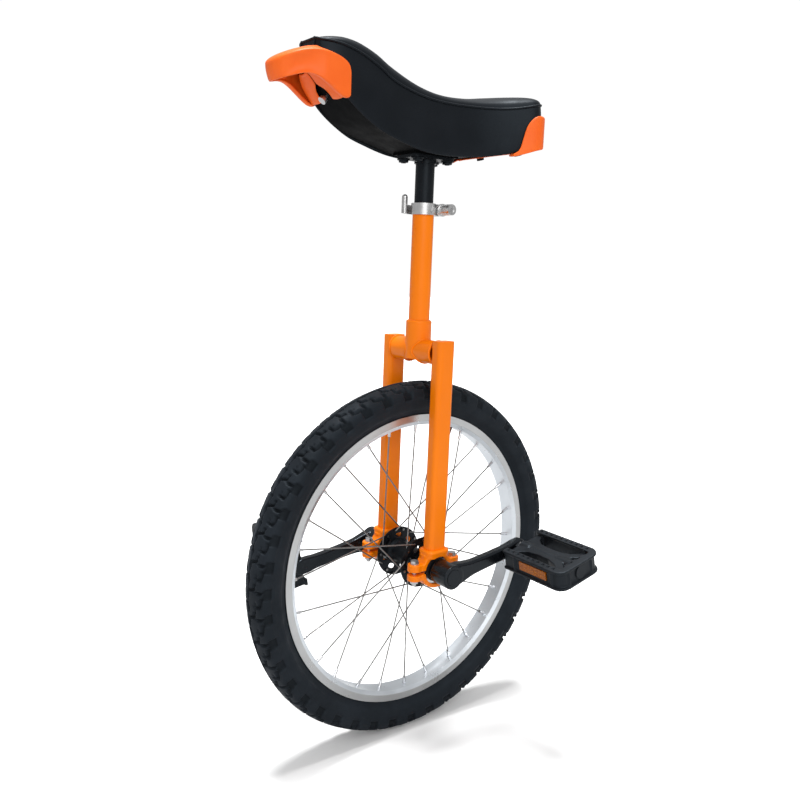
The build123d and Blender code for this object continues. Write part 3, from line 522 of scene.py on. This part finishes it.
# One repeat's grooves on the left half: half width, share of the full depth, points along and across.
GROOVES = [
    (1.5, 1.0, [(4.6, 0.0), (5.4, 3.2), (7.4, 9.2), (9.2, 10.8), (13.2, 10.6)]),
    (1.5, 0.95, [(21.6, 12.0), (20.3, 18.2), (25.2, 19.4), (32.0, 19.6)]),
    (1.5, 0.95, [(31.6, 19.6), (33.0, 25.0)]),
    (2.4, 1.0, [(35.6, 23.4), (43.5, 24.6)]),
    (1.9, 1.0, [(39.4, 14.6), (40.6, 24.8)]),
    (1.4, 0.9, [(33.0, 22.9), (36.0, 23.2)]),
    (0.9, 0.3, [(4.8, 9.6), (4.2, 16.5), (3.2, 22.0)]),
    (0.9, 0.3, [(13.5, 12.8), (27.0, 13.2)]),
    (1.6, 1.0, [(0.0, 1.3), (9.0, -1.3), (18.0, 1.3), (27.0, -1.3), (PITCH, 1.3)]),
]


def off_line(u, y, points):
    """The distance from a tread point to a run of straight lines."""
    best = 1e9
    for (u0, y0), (u1, y1) in zip(points, points[1:]):
        du, dy = u1 - u0, y1 - y0
        t = min(max(((u - u0) * du + (y - y0) * dy) / (du * du + dy * dy), 0.0), 1.0)
        best = min(best, (u - u0 - t * du) ** 2 + (y - y0 - t * dy) ** 2)
    return sqrt(best)


def groove_depth(u, y):
    """How deep the tread is cut at a place along and across it, from 0 to 1."""
    if y < 0:
        u, y = u + PITCH / 2, -y
    deepest = 0.0
    for half_width, share, points in GROOVES:
        for turn in (-PITCH, 0.0, PITCH):
            gap = off_line((u % PITCH) + turn, y, points)
            wall = smooth_step(gap, half_width - 0.3, half_width + 0.5)
            deepest = max(deepest, share * (1 - wall))
    return deepest


def tyre():
    """The tyre with its knobs, grooves and fine sidewall rings, as one closed skin."""
    wall = spline(SIDEWALL, 1)
    top = spline(TREAD, 5)
    crossed = top + [(-y, r) for y, r in reversed(top[:-1])]
    lining = LINING + [(-y, r) for y, r in reversed(LINING)]
    rings = []
    depths = []
    for k in range(RINGS):
        depths.append([groove_depth(PITCH * k / RINGS, y) for y, _ in crossed])
    for k in range(PITCHES * RINGS):
        turn = 2 * pi * k / (PITCHES * RINGS)
        section = list(wall)
        for (y, r), depth in zip(crossed, depths[k % RINGS]):
            lean = (y / SHOULDER) ** 3 * 0.8
            cut = TREAD_DEPTH * depth * (1 - 0.25 * abs(y) / SHOULDER)
            section.append((y - cut * lean, r - cut * sqrt(1 - lean * lean)))
        section += [(-y, r) for y, r in reversed(wall)]
        section += [(y, r) for y, r in reversed(lining)]
        rings.append([(r * cos(turn), y, r * sin(turn)) for y, r in section])
    made = piece("knobby_tyre", skin(rings, closed=True), "tyre_rubber", "wheel", "tyre")
    # Each point keeps its groove depth as cut, which the rubber uses to paint shade into the grooves.
    cut = made.data.attributes.new("cut", "FLOAT", "POINT")
    inner = len(wall)
    across = len(rings[0])
    shade = [0.0] * (across * len(rings))
    for k in range(len(rings)):
        first = k * across + inner
        shade[first : first + len(crossed)] = depths[k % RINGS]
    cut.data.foreach_set("value", shade)


# ---- saddle -------------------------------------------------------------------------
# x, half width and height of the lower edge, half width and height of the seam, crown
SADDLE = [
    (-149.5, 5, 583, 5, 630, 631.5),
    (-149.0, 25, 582.5, 24, 629.8, 634),
    (-147.5, 44, 581.5, 42, 629.5, 637),
    (-144.5, 59, 580, 56.5, 629, 640),
    (-140, 70, 578, 67, 628.6, 642),
    (-133, 77.5, 575.5, 74, 628, 643),
    (-122, 81, 572, 77, 625.5, 643),
    (-103, 71.5, 565, 68.5, 621, 641),
    (-80, 56, 559, 54.5, 618.3, 637.5),
    (-45, 43.5, 554, 43, 617, 632),
    (0, 39, 551.5, 37.8, 616.5, 630.5),
    (40, 38.5, 554, 36.8, 620, 638),
    (80, 39, 563.5, 36.6, 630, 654),
    (103, 39, 571, 36.6, 642, 665),
    (127, 38.7, 584, 36.4, 652.3, 672),
    (145, 38, 597, 36, 657.3, 673.6),
    (158, 35.5, 609.5, 34, 660, 672.4),
    (170, 31, 620.5, 29.5, 661.8, 670),
    (178, 24.5, 628.5, 23.5, 662.8, 667.6),
    (181, 19.5, 631, 19.2, 664, 666.8),
    (182.3, 14, 633, 14, 664.8, 666),
    (182.8, 3, 634, 3, 664.6, 665.2),
]
EDGE_UP = 7.2  # the cushion's underside lies on the base, this far above its lower edge
PIPING_R = 1.5
SIDE_BULGE = 1.7  # how far the side panels swell past a straight line
PUFF_FRAMES = 20
PUFF_MOST = 2.2 * MM  # the furthest that the pressure may push the vinyl


def saddle_row(x):
    """The saddle's row at x, between two given ones, or the end row beyond them."""
    for a, b in zip(SADDLE, SADDLE[1:]):
        if a[0] <= x <= b[0]:
            t = (x - a[0]) / (b[0] - a[0])
            return [p + t * (q - p) for p, q in zip(a, b)]
    return list(SADDLE[0] if x < SADDLE[0][0] else SADDLE[-1])


def saddle_half(half, low, seam_half, seam, crown):
    """One half of a section, from the middle of the underside round to the middle of the top."""
    inner = max(half - 2.4, 0.55 * half)
    points = [(0, low + EDGE_UP), (inner * 0.5, low + EDGE_UP), (inner, low + EDGE_UP), (inner, low + 1.2)]
    points += [((inner + half) / 2, low), (half, low + 1.0)]
    steps = 9
    for k in range(1, steps + 1):
        t = k / steps
        bulge = SIDE_BULGE * sin(pi * t) ** 0.7 * smooth_step(half, 0, 20)
        points.append((half + (seam_half - half) * t + bulge, low + 1.0 + (seam - low - 1.0) * t))
    steps = 11
    for k in range(1, steps + 1):
        turn = pi / 2 * k / steps
        points.append((seam_half * cos(turn), seam + (crown - seam) * sin(turn) ** 0.72))
    return points


def cushion():
    """The padded saddle: a crowned top and full side panels, pinched in where they are sewn together."""
    rings = []
    for x, half, low, seam_half, seam, crown in spline(SADDLE, 5):
        side = saddle_half(half, low, seam_half, seam, crown)
        rings.append([(x, y, z) for y, z in side] + [(x, -y, z) for y, z in reversed(side[1:-1])])
    pad = piece("saddle_cushion", skin(rings), "saddle_vinyl", "seat", "saddle_cover", "saddle_foam")
    puff(pad)
    modify(pad, "SUBSURF", levels=1, render_levels=1)
    settle(pad)


def puff(pad):
    """Fills the vinyl with pressure by cloth simulation, held along its seams and its underside."""
    held = pad.vertex_groups.new(name="held")
    start = [v.co.copy() for v in pad.data.vertices]
    fixed = []
    for v in pad.data.vertices:
        x, y, z = v.co / MM
        _, half, low, seam_half, seam, _ = saddle_row(x)
        z -= AXLE_Z
        on_seam = abs(z - seam) < 2.5 and abs(abs(y) - seam_half) < 3.0
        at_end = x > 180.0 or x < -148.5
        underneath = z < low + EDGE_UP + 0.6 and abs(y) < half - 1.0 or z < low + 4.0
        if underneath or on_seam or at_end:
            fixed.append(v.index)
    held.add(fixed, 1.0, "REPLACE")
    cloth = pad.modifiers.new("cloth", "CLOTH")
    cloth.settings.effector_weights.gravity = 0.0
    cloth.settings.use_pressure = True
    cloth.settings.uniform_pressure_force = 3.0
    cloth.settings.vertex_group_mass = "held"
    cloth.settings.tension_stiffness = 25
    cloth.settings.compression_stiffness = 25
    cloth.settings.bending_stiffness = 6
    cloth.point_cache.frame_end = PUFF_FRAMES
    for step in range(1, PUFF_FRAMES + 1):
        bpy.context.scene.frame_set(step)
    settle(pad)
    bpy.context.scene.frame_set(1)
    for v, first in zip(pad.data.vertices, start):
        pushed = v.co - first
        if pushed.length > PUFF_MOST:
            v.co = first + pushed * (PUFF_MOST / pushed.length)


def saddle_trim():
    """The piping round the top seam and the short seams down the nose's corners."""
    rows = spline(SADDLE, 5)
    near = [(x, seam_half + 0.5, seam + 0.3) for x, _, _, seam_half, seam, _ in rows]
    far = [(x, -y, z) for x, y, z in reversed(near)]
    shapes = [bead(near + far, PIPING_R)]
    for sign in (1, -1):
        corner = [(182.6, sign * 14.6, 665.6), (183.4, sign * 14.8, 656), (183.8, sign * 15.2, 645)]
        shapes.append(bead(spline(corner, 4), 1.0, closed=False))
        shapes.append(rod((182.2, sign * 14.6, 664.0), (182.6, sign * 14.7, 667.0), 1.7, 1.0, 10))
    piece("saddle_welt", joined(*shapes), "saddle_vinyl", "seat", "saddle_piping")


# The grip's stations: plan points of its outer and inner edges, heights of lip, shoulder and inner edge.
HANDLE = [
    (148.5, 42.8, 149.0, 39.6, 602.5, 627, 628),
    (151.0, 42.8, 151.5, 39.2, 600.0, 636, 637.5),
    (158.0, 42.6, 158.0, 37.4, 600.5, 641.5, 643.5),
    (166.0, 42.2, 166.0, 34.6, 604.5, 644.5, 646.5),
    (176.0, 41.4, 173.0, 30.4, 611.0, 646.5, 650),
    (186.0, 39.9, 178.5, 25.6, 617.0, 647, 653),
    (196.0, 37.6, 181.6, 20.0, 620.4, 646, 656),
    (206.0, 34.6, 183.2, 14.2, 620.2, 644, 657),
    (215.0, 30.6, 183.6, 9.0, 618.2, 641, 657.8),
    (223.0, 24.6, 183.7, 5.0, 616.0, 637.5, 658.2),
    (229.0, 17.0, 183.7, 2.5, 614.4, 635, 658.4),
    (232.6, 8.0, 183.7, 1.2, 613.4, 633.5, 658.5),
    (233.6, 0.0, 183.7, 0.0, 613.0, 633, 658.5),
]


def front_handle():
    """The moulded grip: one shell from the right arm round the nose to the left arm, open below."""
    half = spline(HANDLE, 5)
    right = [(x, -y, u, -v, lip, out, top) for x, y, u, v, lip, out, top in half]
    stations = right + half[-2::-1]
    columns = []
    for k, (x, y, u, v, lip, shoulder, top) in enumerate(stations):
        before, after = stations[max(k - 1, 0)], stations[min(k + 1, len(stations) - 1)]
        outward = Vector((after[1] - before[1], before[0] - after[0], 0)).normalized()
        if outward.dot(Vector((x - 160, y, 0))) < 0:
            outward = -outward
        front = smooth_step(x, 185, 225)
        tuck, ledge = 4.5 * front, 3.0 + 5.0 * (1 - front)
        scoop = 5.5 * smooth_step(x, 180, 202) * (1 - smooth_step(x, 214, 231))
        outer, inner = Vector((x, y, 0)), Vector((u, v, 0))
        foot = outer - outward * tuck
        column = [foot - outward * (ledge * s) + Vector((0, 0, lip + 0.6 * s)) for s in (1.0, 0.6, 0.2)]
        for t in (0.0, 0.05, 0.15, 0.3, 0.45, 0.6, 0.75, 0.88, 1.0):
            wall = foot.lerp(outer, sin(pi / 2 * t) ** 0.8) - outward * (scoop * sin(pi * t**0.8))
            column.append(wall + Vector((0, 0, lip + 0.8 + (shoulder - lip - 0.8) * t)))
        for j in range(1, 13):
            t = (j / 12) ** 1.5
            column.append(outer + (inner - outer) * t + Vector((0, 0, shoulder + (top - shoulder) * t**0.62)))
        columns.append(column)
    grip = piece("front_grip", sheet_grid(columns), "trim_plastic", "seat", "front_handle")
    modify(grip, "SOLIDIFY", thickness=2.6 * MM, offset=-1.0, use_even_offset=True)
    modify(grip, "SUBSURF", levels=1, render_levels=1)
    settle(grip)


def grip_tongue():
    """The grip's flange under the nose: one tongue each side of the bolt, lying along the base's slope."""
    for name, sign in SIDES.items():
        rows = []
        for k in range(10):
            x = 153 + 31 * k / 9
            _, half, low, _, _, _ = saddle_row(min(x, 182.0))
            notch = sqrt(max(0.0, 11.0**2 - (x - 157.5) ** 2)) + 0.8
            row = []
            for j in range(9):
                t = j / 8
                reach = notch + (half + 1.5 - notch) * t
                row.append((x, sign * reach, low - 2.6 - 1.4 * sin(pi * t)))
            rows.append(row)
        tongue = piece("grip_tongue_" + name, sheet_grid(rows), "trim_plastic", "seat")
        modify(tongue, "SOLIDIFY", thickness=1.6 * MM, offset=0.0)
        modify(tongue, "SUBSURF", levels=1, render_levels=1)
        settle(tongue)


BUMPER_FRONT = -94.0


def rear_bumper():
    """The moulded guard round the tail, with a curved front edge and a lip under the base."""
    near = [(x, half, low) for x, half, low, _, _, _ in spline(SADDLE, 5) if x < BUMPER_FRONT]
    outline = list(reversed(near)) + [(x, -half, low) for x, half, low in near]
    rings = []
    for k, (x, y, low) in enumerate(outline):
        before, after = outline[max(k - 1, 0)], outline[min(k + 1, len(outline) - 1)]
        outward = Vector((before[1] - after[1], after[0] - before[0], 0)).normalized()
        if outward.dot(Vector((x + 115, y, 0))) < 0:
            outward = -outward
        bottom = low - 4.8
        if x > -103:
            top = bottom + 3.4 + 3.5 * smooth_step(-x, -BUMPER_FRONT, 103)
        else:
            top = 567 + 45.5 * sqrt(max(0.0, 1 - max(0.0, (x + 125.5) / 22.5) ** 2))
        sign = 1 if y >= 0 else -1
        beside = Vector((x, sign * max(abs(y) - 11, 0), 0))
        behind = Vector((-109, sign * min(abs(y), 61), 0))
        end = beside.lerp(behind, smooth_step(-x, 108, 136))
        end_low = saddle_row(min(max(end.x, -149), 180))[2]
        proud, wall = 4.6, 2.0
        profile = [(wall, bottom + 0.2), (proud - 0.5, bottom + 0.1), (proud, bottom + 0.9)]
        span = max(top - bottom - 2.2, 0.8)
        profile += [(proud, bottom + 0.9 + span * t) for t in (0.15, 0.4, 0.7, 0.92, 1.0)]
        profile += [(proud - 0.7, top - 0.3), (proud - 1.5, top), (wall + 0.2, top - 0.4), (wall, top - 1.2)]
        profile += [(wall, bottom + 0.9 + span * t) for t in (0.85, 0.5, 0.2)] + [(wall - 0.4, bottom + 2.9)]
        ring = [Vector((x, y, z)) + outward * d for d, z in profile]
        ring += [end + Vector((0, 0, end_low - 0.4)), end + Vector((0, 0, end_low - 4.6))]
        rings.append(ring)
    guard = piece("tail_bumper", skin(rings), "trim_plastic", "seat", "rear_bumper")
    modify(guard, "SUBSURF", levels=1, render_levels=1)
    settle(guard)


# ---- cranks and pedals --------------------------------------------------------------
def crank_place(side):
    """Turns a shape made along +X, left side outward, to where that side's crank is."""
    turn = CRANK_ANGLE if side > 0 else CRANK_ANGLE - pi
    mirror = Matrix.Diagonal((1, side, 1, 1))
    return Matrix.Rotation(-turn, 4, "Y") @ mirror


ARM_END_R = 11.6
# Crank arm: distance from the axle, half height, inner and outer face from the middle plane.
ARM = [
    (0, 15.6, 82, 97.6),
    (14, 14.8, 83, 97.6),
    (26, 12.4, 84, 97.3),
    (42, 10.2, 84.5, 97),
    (85, 9.4, 84.5, 97),
    (104, 9.8, 84.5, 97),
    (117, 11.3, 84.5, 97),
    (127, ARM_END_R, 84.5, 97),
]
BEVEL = 2.6
BOSS_R = 16.6
DUST_CAP_R = 11.15  # the boss's recess that the dust cap sits in


def crank(name, side):
    """A forged crank: round boss, waisted arm with a bevelled outer edge, and a round end."""
    rings = []
    stations = spline(ARM, 4)
    for k in range(1, 7):
        turn = pi / 2 * k / 6
        half = max(ARM_END_R * cos(turn), 0.6)
        stations.append((CRANK_LENGTH + ARM_END_R * sin(turn), half, *ARM[-1][2:]))
    for x, half, inner, outer in stations:
        b = min(BEVEL, half * 0.6)
        ring = [(x, inner, half - 1.2), (x, inner + 1.2, half), (x, outer - b, half), (x, outer, half - b)]
        rings.append(ring + [(px, py, -pz) for px, py, pz in reversed(ring)])
    boss = rod((0, 68, 0), (0, 98, 0), BOSS_R, steps=64)
    collar = rod((0, 66.2, 0), (0, 70, 0), 12.8, steps=48)
    shape = joined(skin(rings), boss, collar)
    place = crank_place(side)
    arm = piece("crank_arm_" + name, shape, "crank_paint", "wheel", "crank_" + name, place=place)
    fuse(arm, 0.75, 4)
    carve(arm, rod((0, 95.4, 0), (0, 105, 0), DUST_CAP_R, steps=64), place)


PEDAL_PITCH = {1: 13.5, -1: -81.0}  # how far each pedal has turned on its spindle
PEDAL_START, PEDAL_END = 101.5, 210  # the pedal's ends, from the middle plane
PEDAL_BORE_R = 8.05


def pedal_place(side):
    """Moves a shape made about the Y axis, left side outward, to that side's spindle and turns it."""
    turn = CRANK_ANGLE if side > 0 else CRANK_ANGLE - pi
    spot = Matrix.Translation((CRANK_LENGTH * cos(turn), 0, CRANK_LENGTH * sin(turn)))
    return spot @ Matrix.Rotation(radians(PEDAL_PITCH[side]), 4, "Y") @ Matrix.Diagonal((1, side, 1, 1))


def u_outline(outer, end, width, corner):
    """The outline of two rails joined by a round-cornered end, open towards the crank."""
    start, steps = PEDAL_START, 6

    def arc(radius, x, y, first, last):
        turns = (first + (last - first) * k / steps for k in range(steps + 1))
        return [(x + radius * cos(t), y + radius * sin(t)) for t in turns]

    inner, small = outer - width, max(corner - width, 2.0)
    points = [(inner, start), (outer - 1.5, start), (outer, start + 1.5)]
    points += arc(corner, outer - corner, end - corner, 0, pi / 2)
    points += arc(corner, corner - outer, end - corner, pi / 2, pi)
    points += [(-outer, start + 1.5), (1.5 - outer, start), (-inner, start)]
    points += arc(small, small - inner, end - width - small, pi, pi / 2)
    points += arc(small, inner - small, end - width - small, pi / 2, 0)
    return points


def beam(x0, y0, x1, y1, width, low, high):
    """An upright web between two plan points."""
    along = Vector((x1 - x0, y1 - y0, 0))
    side = Vector((-along.y, along.x, 0)).normalized() * (width / 2)
    ends = [Vector((x0, y0, 0)), Vector((x1, y1, 0))]
    outline = [ends[0] - side, ends[1] - side, ends[1] + side, ends[0] + side]
    return prism([(p.x, p.y) for p in outline], low, high)


def pedal(name, side):
    """A moulded pedal: two decks on a recessed wall, a barrel with flared webs, and pits along its rails."""
    place = pedal_place(side)
    shapes = [prism(u_outline(40, PEDAL_END, 11, 15), z, z + 3.6) for z in (-14, 10.4)]
    shapes.append(prism(u_outline(37, PEDAL_END - 3, 3.2, 12.2), -12, 12))
    shapes.append(rod((0, 101.6, 0), (0, 118, 0), 11.4, 10.8))
    shapes.append(rod((0, 116, 0), (0, 172, 0), 9.4, 9.2))
    shapes.append(rod((0, 168, 0), (0, 206, 0), 9.6, 11.2))
    half_web = [(31, 103), (31, 111), (21, 116), (14, 125), (11.5, 140), (12, 162), (17, 177), (31, 191)]
    half_web += [(31, 200), (22, 200), (13, 190), (9, 184)]
    web = half_web + [(-x, y) for x, y in reversed(half_web)]
    shapes.append(prism(web, -8.6, 8.6))
    for sign in (1, -1):
        shapes += [
            beam(sign * 33, 103, sign * 33, 196, 3.4, -12, 12),
            beam(sign * 22, 204, sign * 22, 209, 3, -12, 12),
            beam(sign * 35, 190, sign * 39, 190, 3, -12, 12),
            beam(sign * 35, 122, sign * 39, 122, 3, -12, 12),
        ]
        for x in (-15, 0, 15):
            shapes.append(prism(rounded_box(4.2, 2.6, 1.0, x, 197.6, 2), sign * 10.5, sign * 13.2))
    shape = joined(*shapes)
    body = piece("pedal_body_" + name, shape, "pedal_plastic", name + "_pedal", "pedal_" + name, place=place)
    fuse(body, 0.85, 3)
    pits = []
    for x in (-33.4, 33.4):
        for k in range(10):
            pit = rounded_box(2.1, 2.5, 0.8, x, 108 + 9.2 * k, 2)
            pits += [prism(pit, 11.4, 16), prism(pit, -16, -11.4)]
    for sign in (1, -1):
        wall = [(sign * 35.6, 129), (sign * 42, 129), (sign * 42, 182), (sign * 35.6, 182)]
        pits.append(prism(wall, -7, 7))
    pits.append(rod((0, 90, 0), (0, 204, 0), PEDAL_BORE_R))
    carve(body, joined(*pits), place)


# ---- fork castings and welds --------------------------------------------------------
BEARING_Y = 54.0
EAR_X = 33.0
HALF_GAP = 2.6  # half the gap between a housing and its cap
HOUSING_R, HOUSING_BORE_R = 25.6, 20.1


def casting(name, side, upper):
    """Half of a bearing housing: its ring, two round ears and, above, the collar that holds the leg."""
    y = side * BEARING_Y
    low, high = (HALF_GAP, 12.0) if upper else (-10.0, -HALF_GAP)
    shapes = [rod((0, y - 9, 0), (0, y + 9, 0), HOUSING_R, steps=64)]
    for ear in (EAR_X, -EAR_X):
        web = [(0, y - 8), (ear, y - 8.6), (ear, y + 8.6), (0, y + 8)]
        shapes.append(rod((ear, y, low - 1), (ear, y, high), 9.6))
        shapes.append(prism(web, low - 1, high - 0.6))
    if upper:
        shapes.append(prism(rounded_box(20, 9, 6, 0, y), 0, 22))
        shapes.append(prism(rounded_box(19, 13.5, 9, 0, y), 18, 24))
        for height, grow in ((20.5, 0.4), (22.5, 1.6), (24.5, 2.0), (26.5, 1.4)):
            shapes.append(prism(rounded_box(17 + grow, 12.2 + grow, 8.5, 0, y), height, height + 2.4))
    kind = "housing_" if upper else "cap_"
    made = piece(kind + name, joined(*shapes), "frame_paint", "frame", "bearing_" + kind + name)
    fuse(made, 0.8, 7)
    away = (-60, HALF_GAP) if upper else (-HALF_GAP, 60)
    carve(made, prism([(-60, y - 30), (60, y - 30), (60, y + 30), (-60, y + 30)], *away))
    carve(made, rod((0, y - 30, 0), (0, y + 30, 0), HOUSING_BORE_R, steps=64))


def circle(radius, steps):
    """Points round a circle, as pairs."""
    return [(radius * cos(2 * pi * k / steps), radius * sin(2 * pi * k / steps)) for k in range(steps)]


def welds():
    """Beads where the cross tubes meet the lug and the legs, and where the seat tube leaves the lug."""
    cross_z = centre("cross_tube_left")[2] - AXLE_Z
    tube, lug = 16.0, 17.6  # radii
    shapes = []
    for side in SIDES.values():
        around = [(x, cross_z + z) for x, z in circle(tube + 0.3, 120)]
        at_lug = [(x, side * sqrt(lug**2 - x**2), z) for x, z in around]
        at_leg = [(x, side * (BEARING_Y - 10.4), z) for x, z in around]
        shapes.append(bead(at_lug, 1.7, ripple=0.3))
        shapes.append(bead(at_leg, 1.6, ripple=0.3))
    lug_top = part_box("crown_lug")[1][2] / MM - AXLE_Z
    at_seat_tube = [(x, y, lug_top - 0.6) for x, y in circle(14.9, 90)]
    shapes.append(bead(at_seat_tube, 1.0, ripple=0.12))
    piece("weld_beads", joined(*shapes), "frame_paint", "frame")


def bracket_nuts():
    """Four low flange nuts, with their bolts, that hold the bracket under the saddle's base."""
    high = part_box("seat_bracket")[1][2] / MM - AXLE_Z
    shapes = []
    for x in (-25, 25):
        for y in (-15, 15):
            hexagon = [(x + 6.9 * cos(k * pi / 3), y + 6.9 * sin(k * pi / 3)) for k in range(6)]
            shapes.append(prism(hexagon, high - 8.2, high - 4.6))
            shapes.append(rod((x, y, high - 5.4), (x, y, high - 4.0), 8.6, 8.2))
            shapes.append(rod((x, y, high - 9.2), (x, y, high - 8.0), 3.2, 3.9))
            shapes.append(rod((x, y, high - 4.2), (x, y, high + 5.0), 4.0))
    piece("bracket_nuts", joined(*shapes), "black_paint", "seat", "saddle_bolts", "saddle_nuts")


SHARP = radians(35)
# How wide the sharp edges of carried-over nodes are rounded.
EDGES = {
    "dust_caps": 0.8,
    "seat_collar": 0.5,
    "cross_tube_left": 0.3,
    "cross_tube_right": 0.3,
    "crown_lug": 0.8,
    "fork_leg_left": 0.5,
    "fork_leg_right": 0.5,
    "housing_bolts": 0.4,
    "skewer_nut": 0.4,
}


def dress_nodes():
    """Gives every carried-over node the finish of its slot and rounds some sharp edges."""
    for part in frame["record"]["subparts"]:
        slots = NODES[part["node"]].data.materials
        slots.clear()
        slots.append(MATERIALS[part["material_slot"]])
    NODES["trim_bolts"].data.materials[0] = trim_screws()
    NODES["spokes"].data.materials[0] = bright_metal("spoke_steel", *SPOKE_STEEL, 0.3)
    for node, width in EDGES.items():
        round_off = {"width": width * MM, "segments": 2, "limit_method": "ANGLE", "angle_limit": SHARP}
        modify(NODES[node], "BEVEL", **round_off)


# ---- camera, light and floor --------------------------------------------------------
def camera():
    """The view from the front left, a little above the wheel and below the saddle."""
    data = bpy.data.cameras.new("view")
    data.sensor_width = 36.0
    data.lens = 36.42
    data.clip_start = 0.01
    seen = bpy.data.objects.new("view", data)
    bpy.context.scene.collection.objects.link(seen)
    azimuth, tilt, roll = radians(-127.393), radians(-9.293), radians(-2.18)
    turn = Matrix.Rotation(azimuth - pi / 2, 4, "Z") @ Matrix.Rotation(pi / 2 + tilt, 4, "X")
    seen.matrix_world = Matrix.Translation((0.6912, 0.8686, 0.6617)) @ turn @ Matrix.Rotation(-roll, 4, "Z")
    bpy.context.scene.camera = seen


def world_light():
    """Soft light, stronger from above, behind a background that the camera sees as plain white."""
    world = bpy.data.worlds.new("studio")
    bpy.context.scene.world = world
    world.use_nodes = True
    tree = world.node_tree
    soft = tree.nodes["Background"]
    height = tree.nodes.new("ShaderNodeSeparateXYZ")
    tree.links.new(tree.nodes.new("ShaderNodeTexCoord").outputs["Generated"], height.inputs[0])
    glow = tree.nodes.new("ShaderNodeMapRange")
    for key, number in (("From Min", -0.1), ("From Max", 0.9), ("To Min", 0.3), ("To Max", 0.62)):
        glow.inputs[key].default_value = number
    tree.links.new(height.outputs["Z"], glow.inputs["Value"])
    tree.links.new(glow.outputs["Result"], soft.inputs["Strength"])
    white = tree.nodes.new("ShaderNodeBackground")
    white.inputs["Color"].default_value = (1, 1, 1, 1)
    white.inputs["Strength"].default_value = 1.02
    rays = tree.nodes.new("ShaderNodeLightPath")
    mix = tree.nodes.new("ShaderNodeMixShader")
    soft.inputs["Color"].default_value = (1, 1, 1, 1)
    tree.links.new(rays.outputs["Is Camera Ray"], mix.inputs[0])
    tree.links.new(soft.outputs[0], mix.inputs[1])
    tree.links.new(white.outputs[0], mix.inputs[2])
    tree.links.new(mix.outputs[0], tree.nodes["World Output"].inputs["Surface"])


def floor():
    """A pale floor that throws less light back on the object than it shows to the camera."""
    reach = 14.0
    corners = [(-reach, -reach, 0), (reach, -reach, 0), (reach, reach, 0), (-reach, reach, 0)]
    mesh = bpy.data.meshes.new("floor")
    mesh.from_pydata(corners, [], [(0, 1, 2, 3)])
    ground = bpy.data.objects.new("floor", mesh)
    bpy.context.scene.collection.objects.link(ground)
    s = Shader("pale_floor", Roughness=1.0, Specular_IOR_Level=0.0)
    seen = s.ramp(s.noise(0.6, 2), ((0.3, (0.92, 0.92, 0.92)), (0.7, (0.95, 0.95, 0.95))))
    tint = s.tree.nodes.new("ShaderNodeMix")
    tint.data_type = "RGBA"
    s.feed(tint.inputs["Factor"], s.tree.nodes.new("ShaderNodeLightPath").outputs["Is Camera Ray"])
    tint.inputs["A"].default_value = (0.4, 0.4, 0.4, 1)
    s.feed(tint.inputs["B"], seen)
    s.feed(s.bsdf.inputs["Base Color"], tint.outputs["Result"])
    mesh.materials.append(s.material)


def sun(name, direction, strength, angle):
    """A distant light that shines along a direction, softened by its width in degrees."""
    light = bpy.data.lights.new(name, "SUN")
    light.energy = strength
    light.angle = radians(angle)
    made = bpy.data.objects.new(name, light)
    bpy.context.scene.collection.objects.link(made)
    made.rotation_euler = Vector(direction).to_track_quat("-Z", "Y").to_euler()


def studio():
    """A white floor, a light overhead and a wider one from the front left, as for a catalogue picture."""
    bpy.context.scene.view_settings.view_transform = "Standard"
    world_light()
    floor()
    sun("top_light", (0.0, 0.085, -1.0), 4.4, 20)
    sun("key_light", (-0.4, -0.85, -0.55), 1.4, 60)


dress_nodes()
tyre()
cushion()
saddle_trim()
front_handle()
grip_tongue()
rear_bumper()
for side_name, side_sign in SIDES.items():
    crank(side_name, side_sign)
    pedal(side_name, side_sign)
    casting(side_name, side_sign, True)
    casting(side_name, side_sign, False)
welds()
bracket_nuts()
camera()
studio()
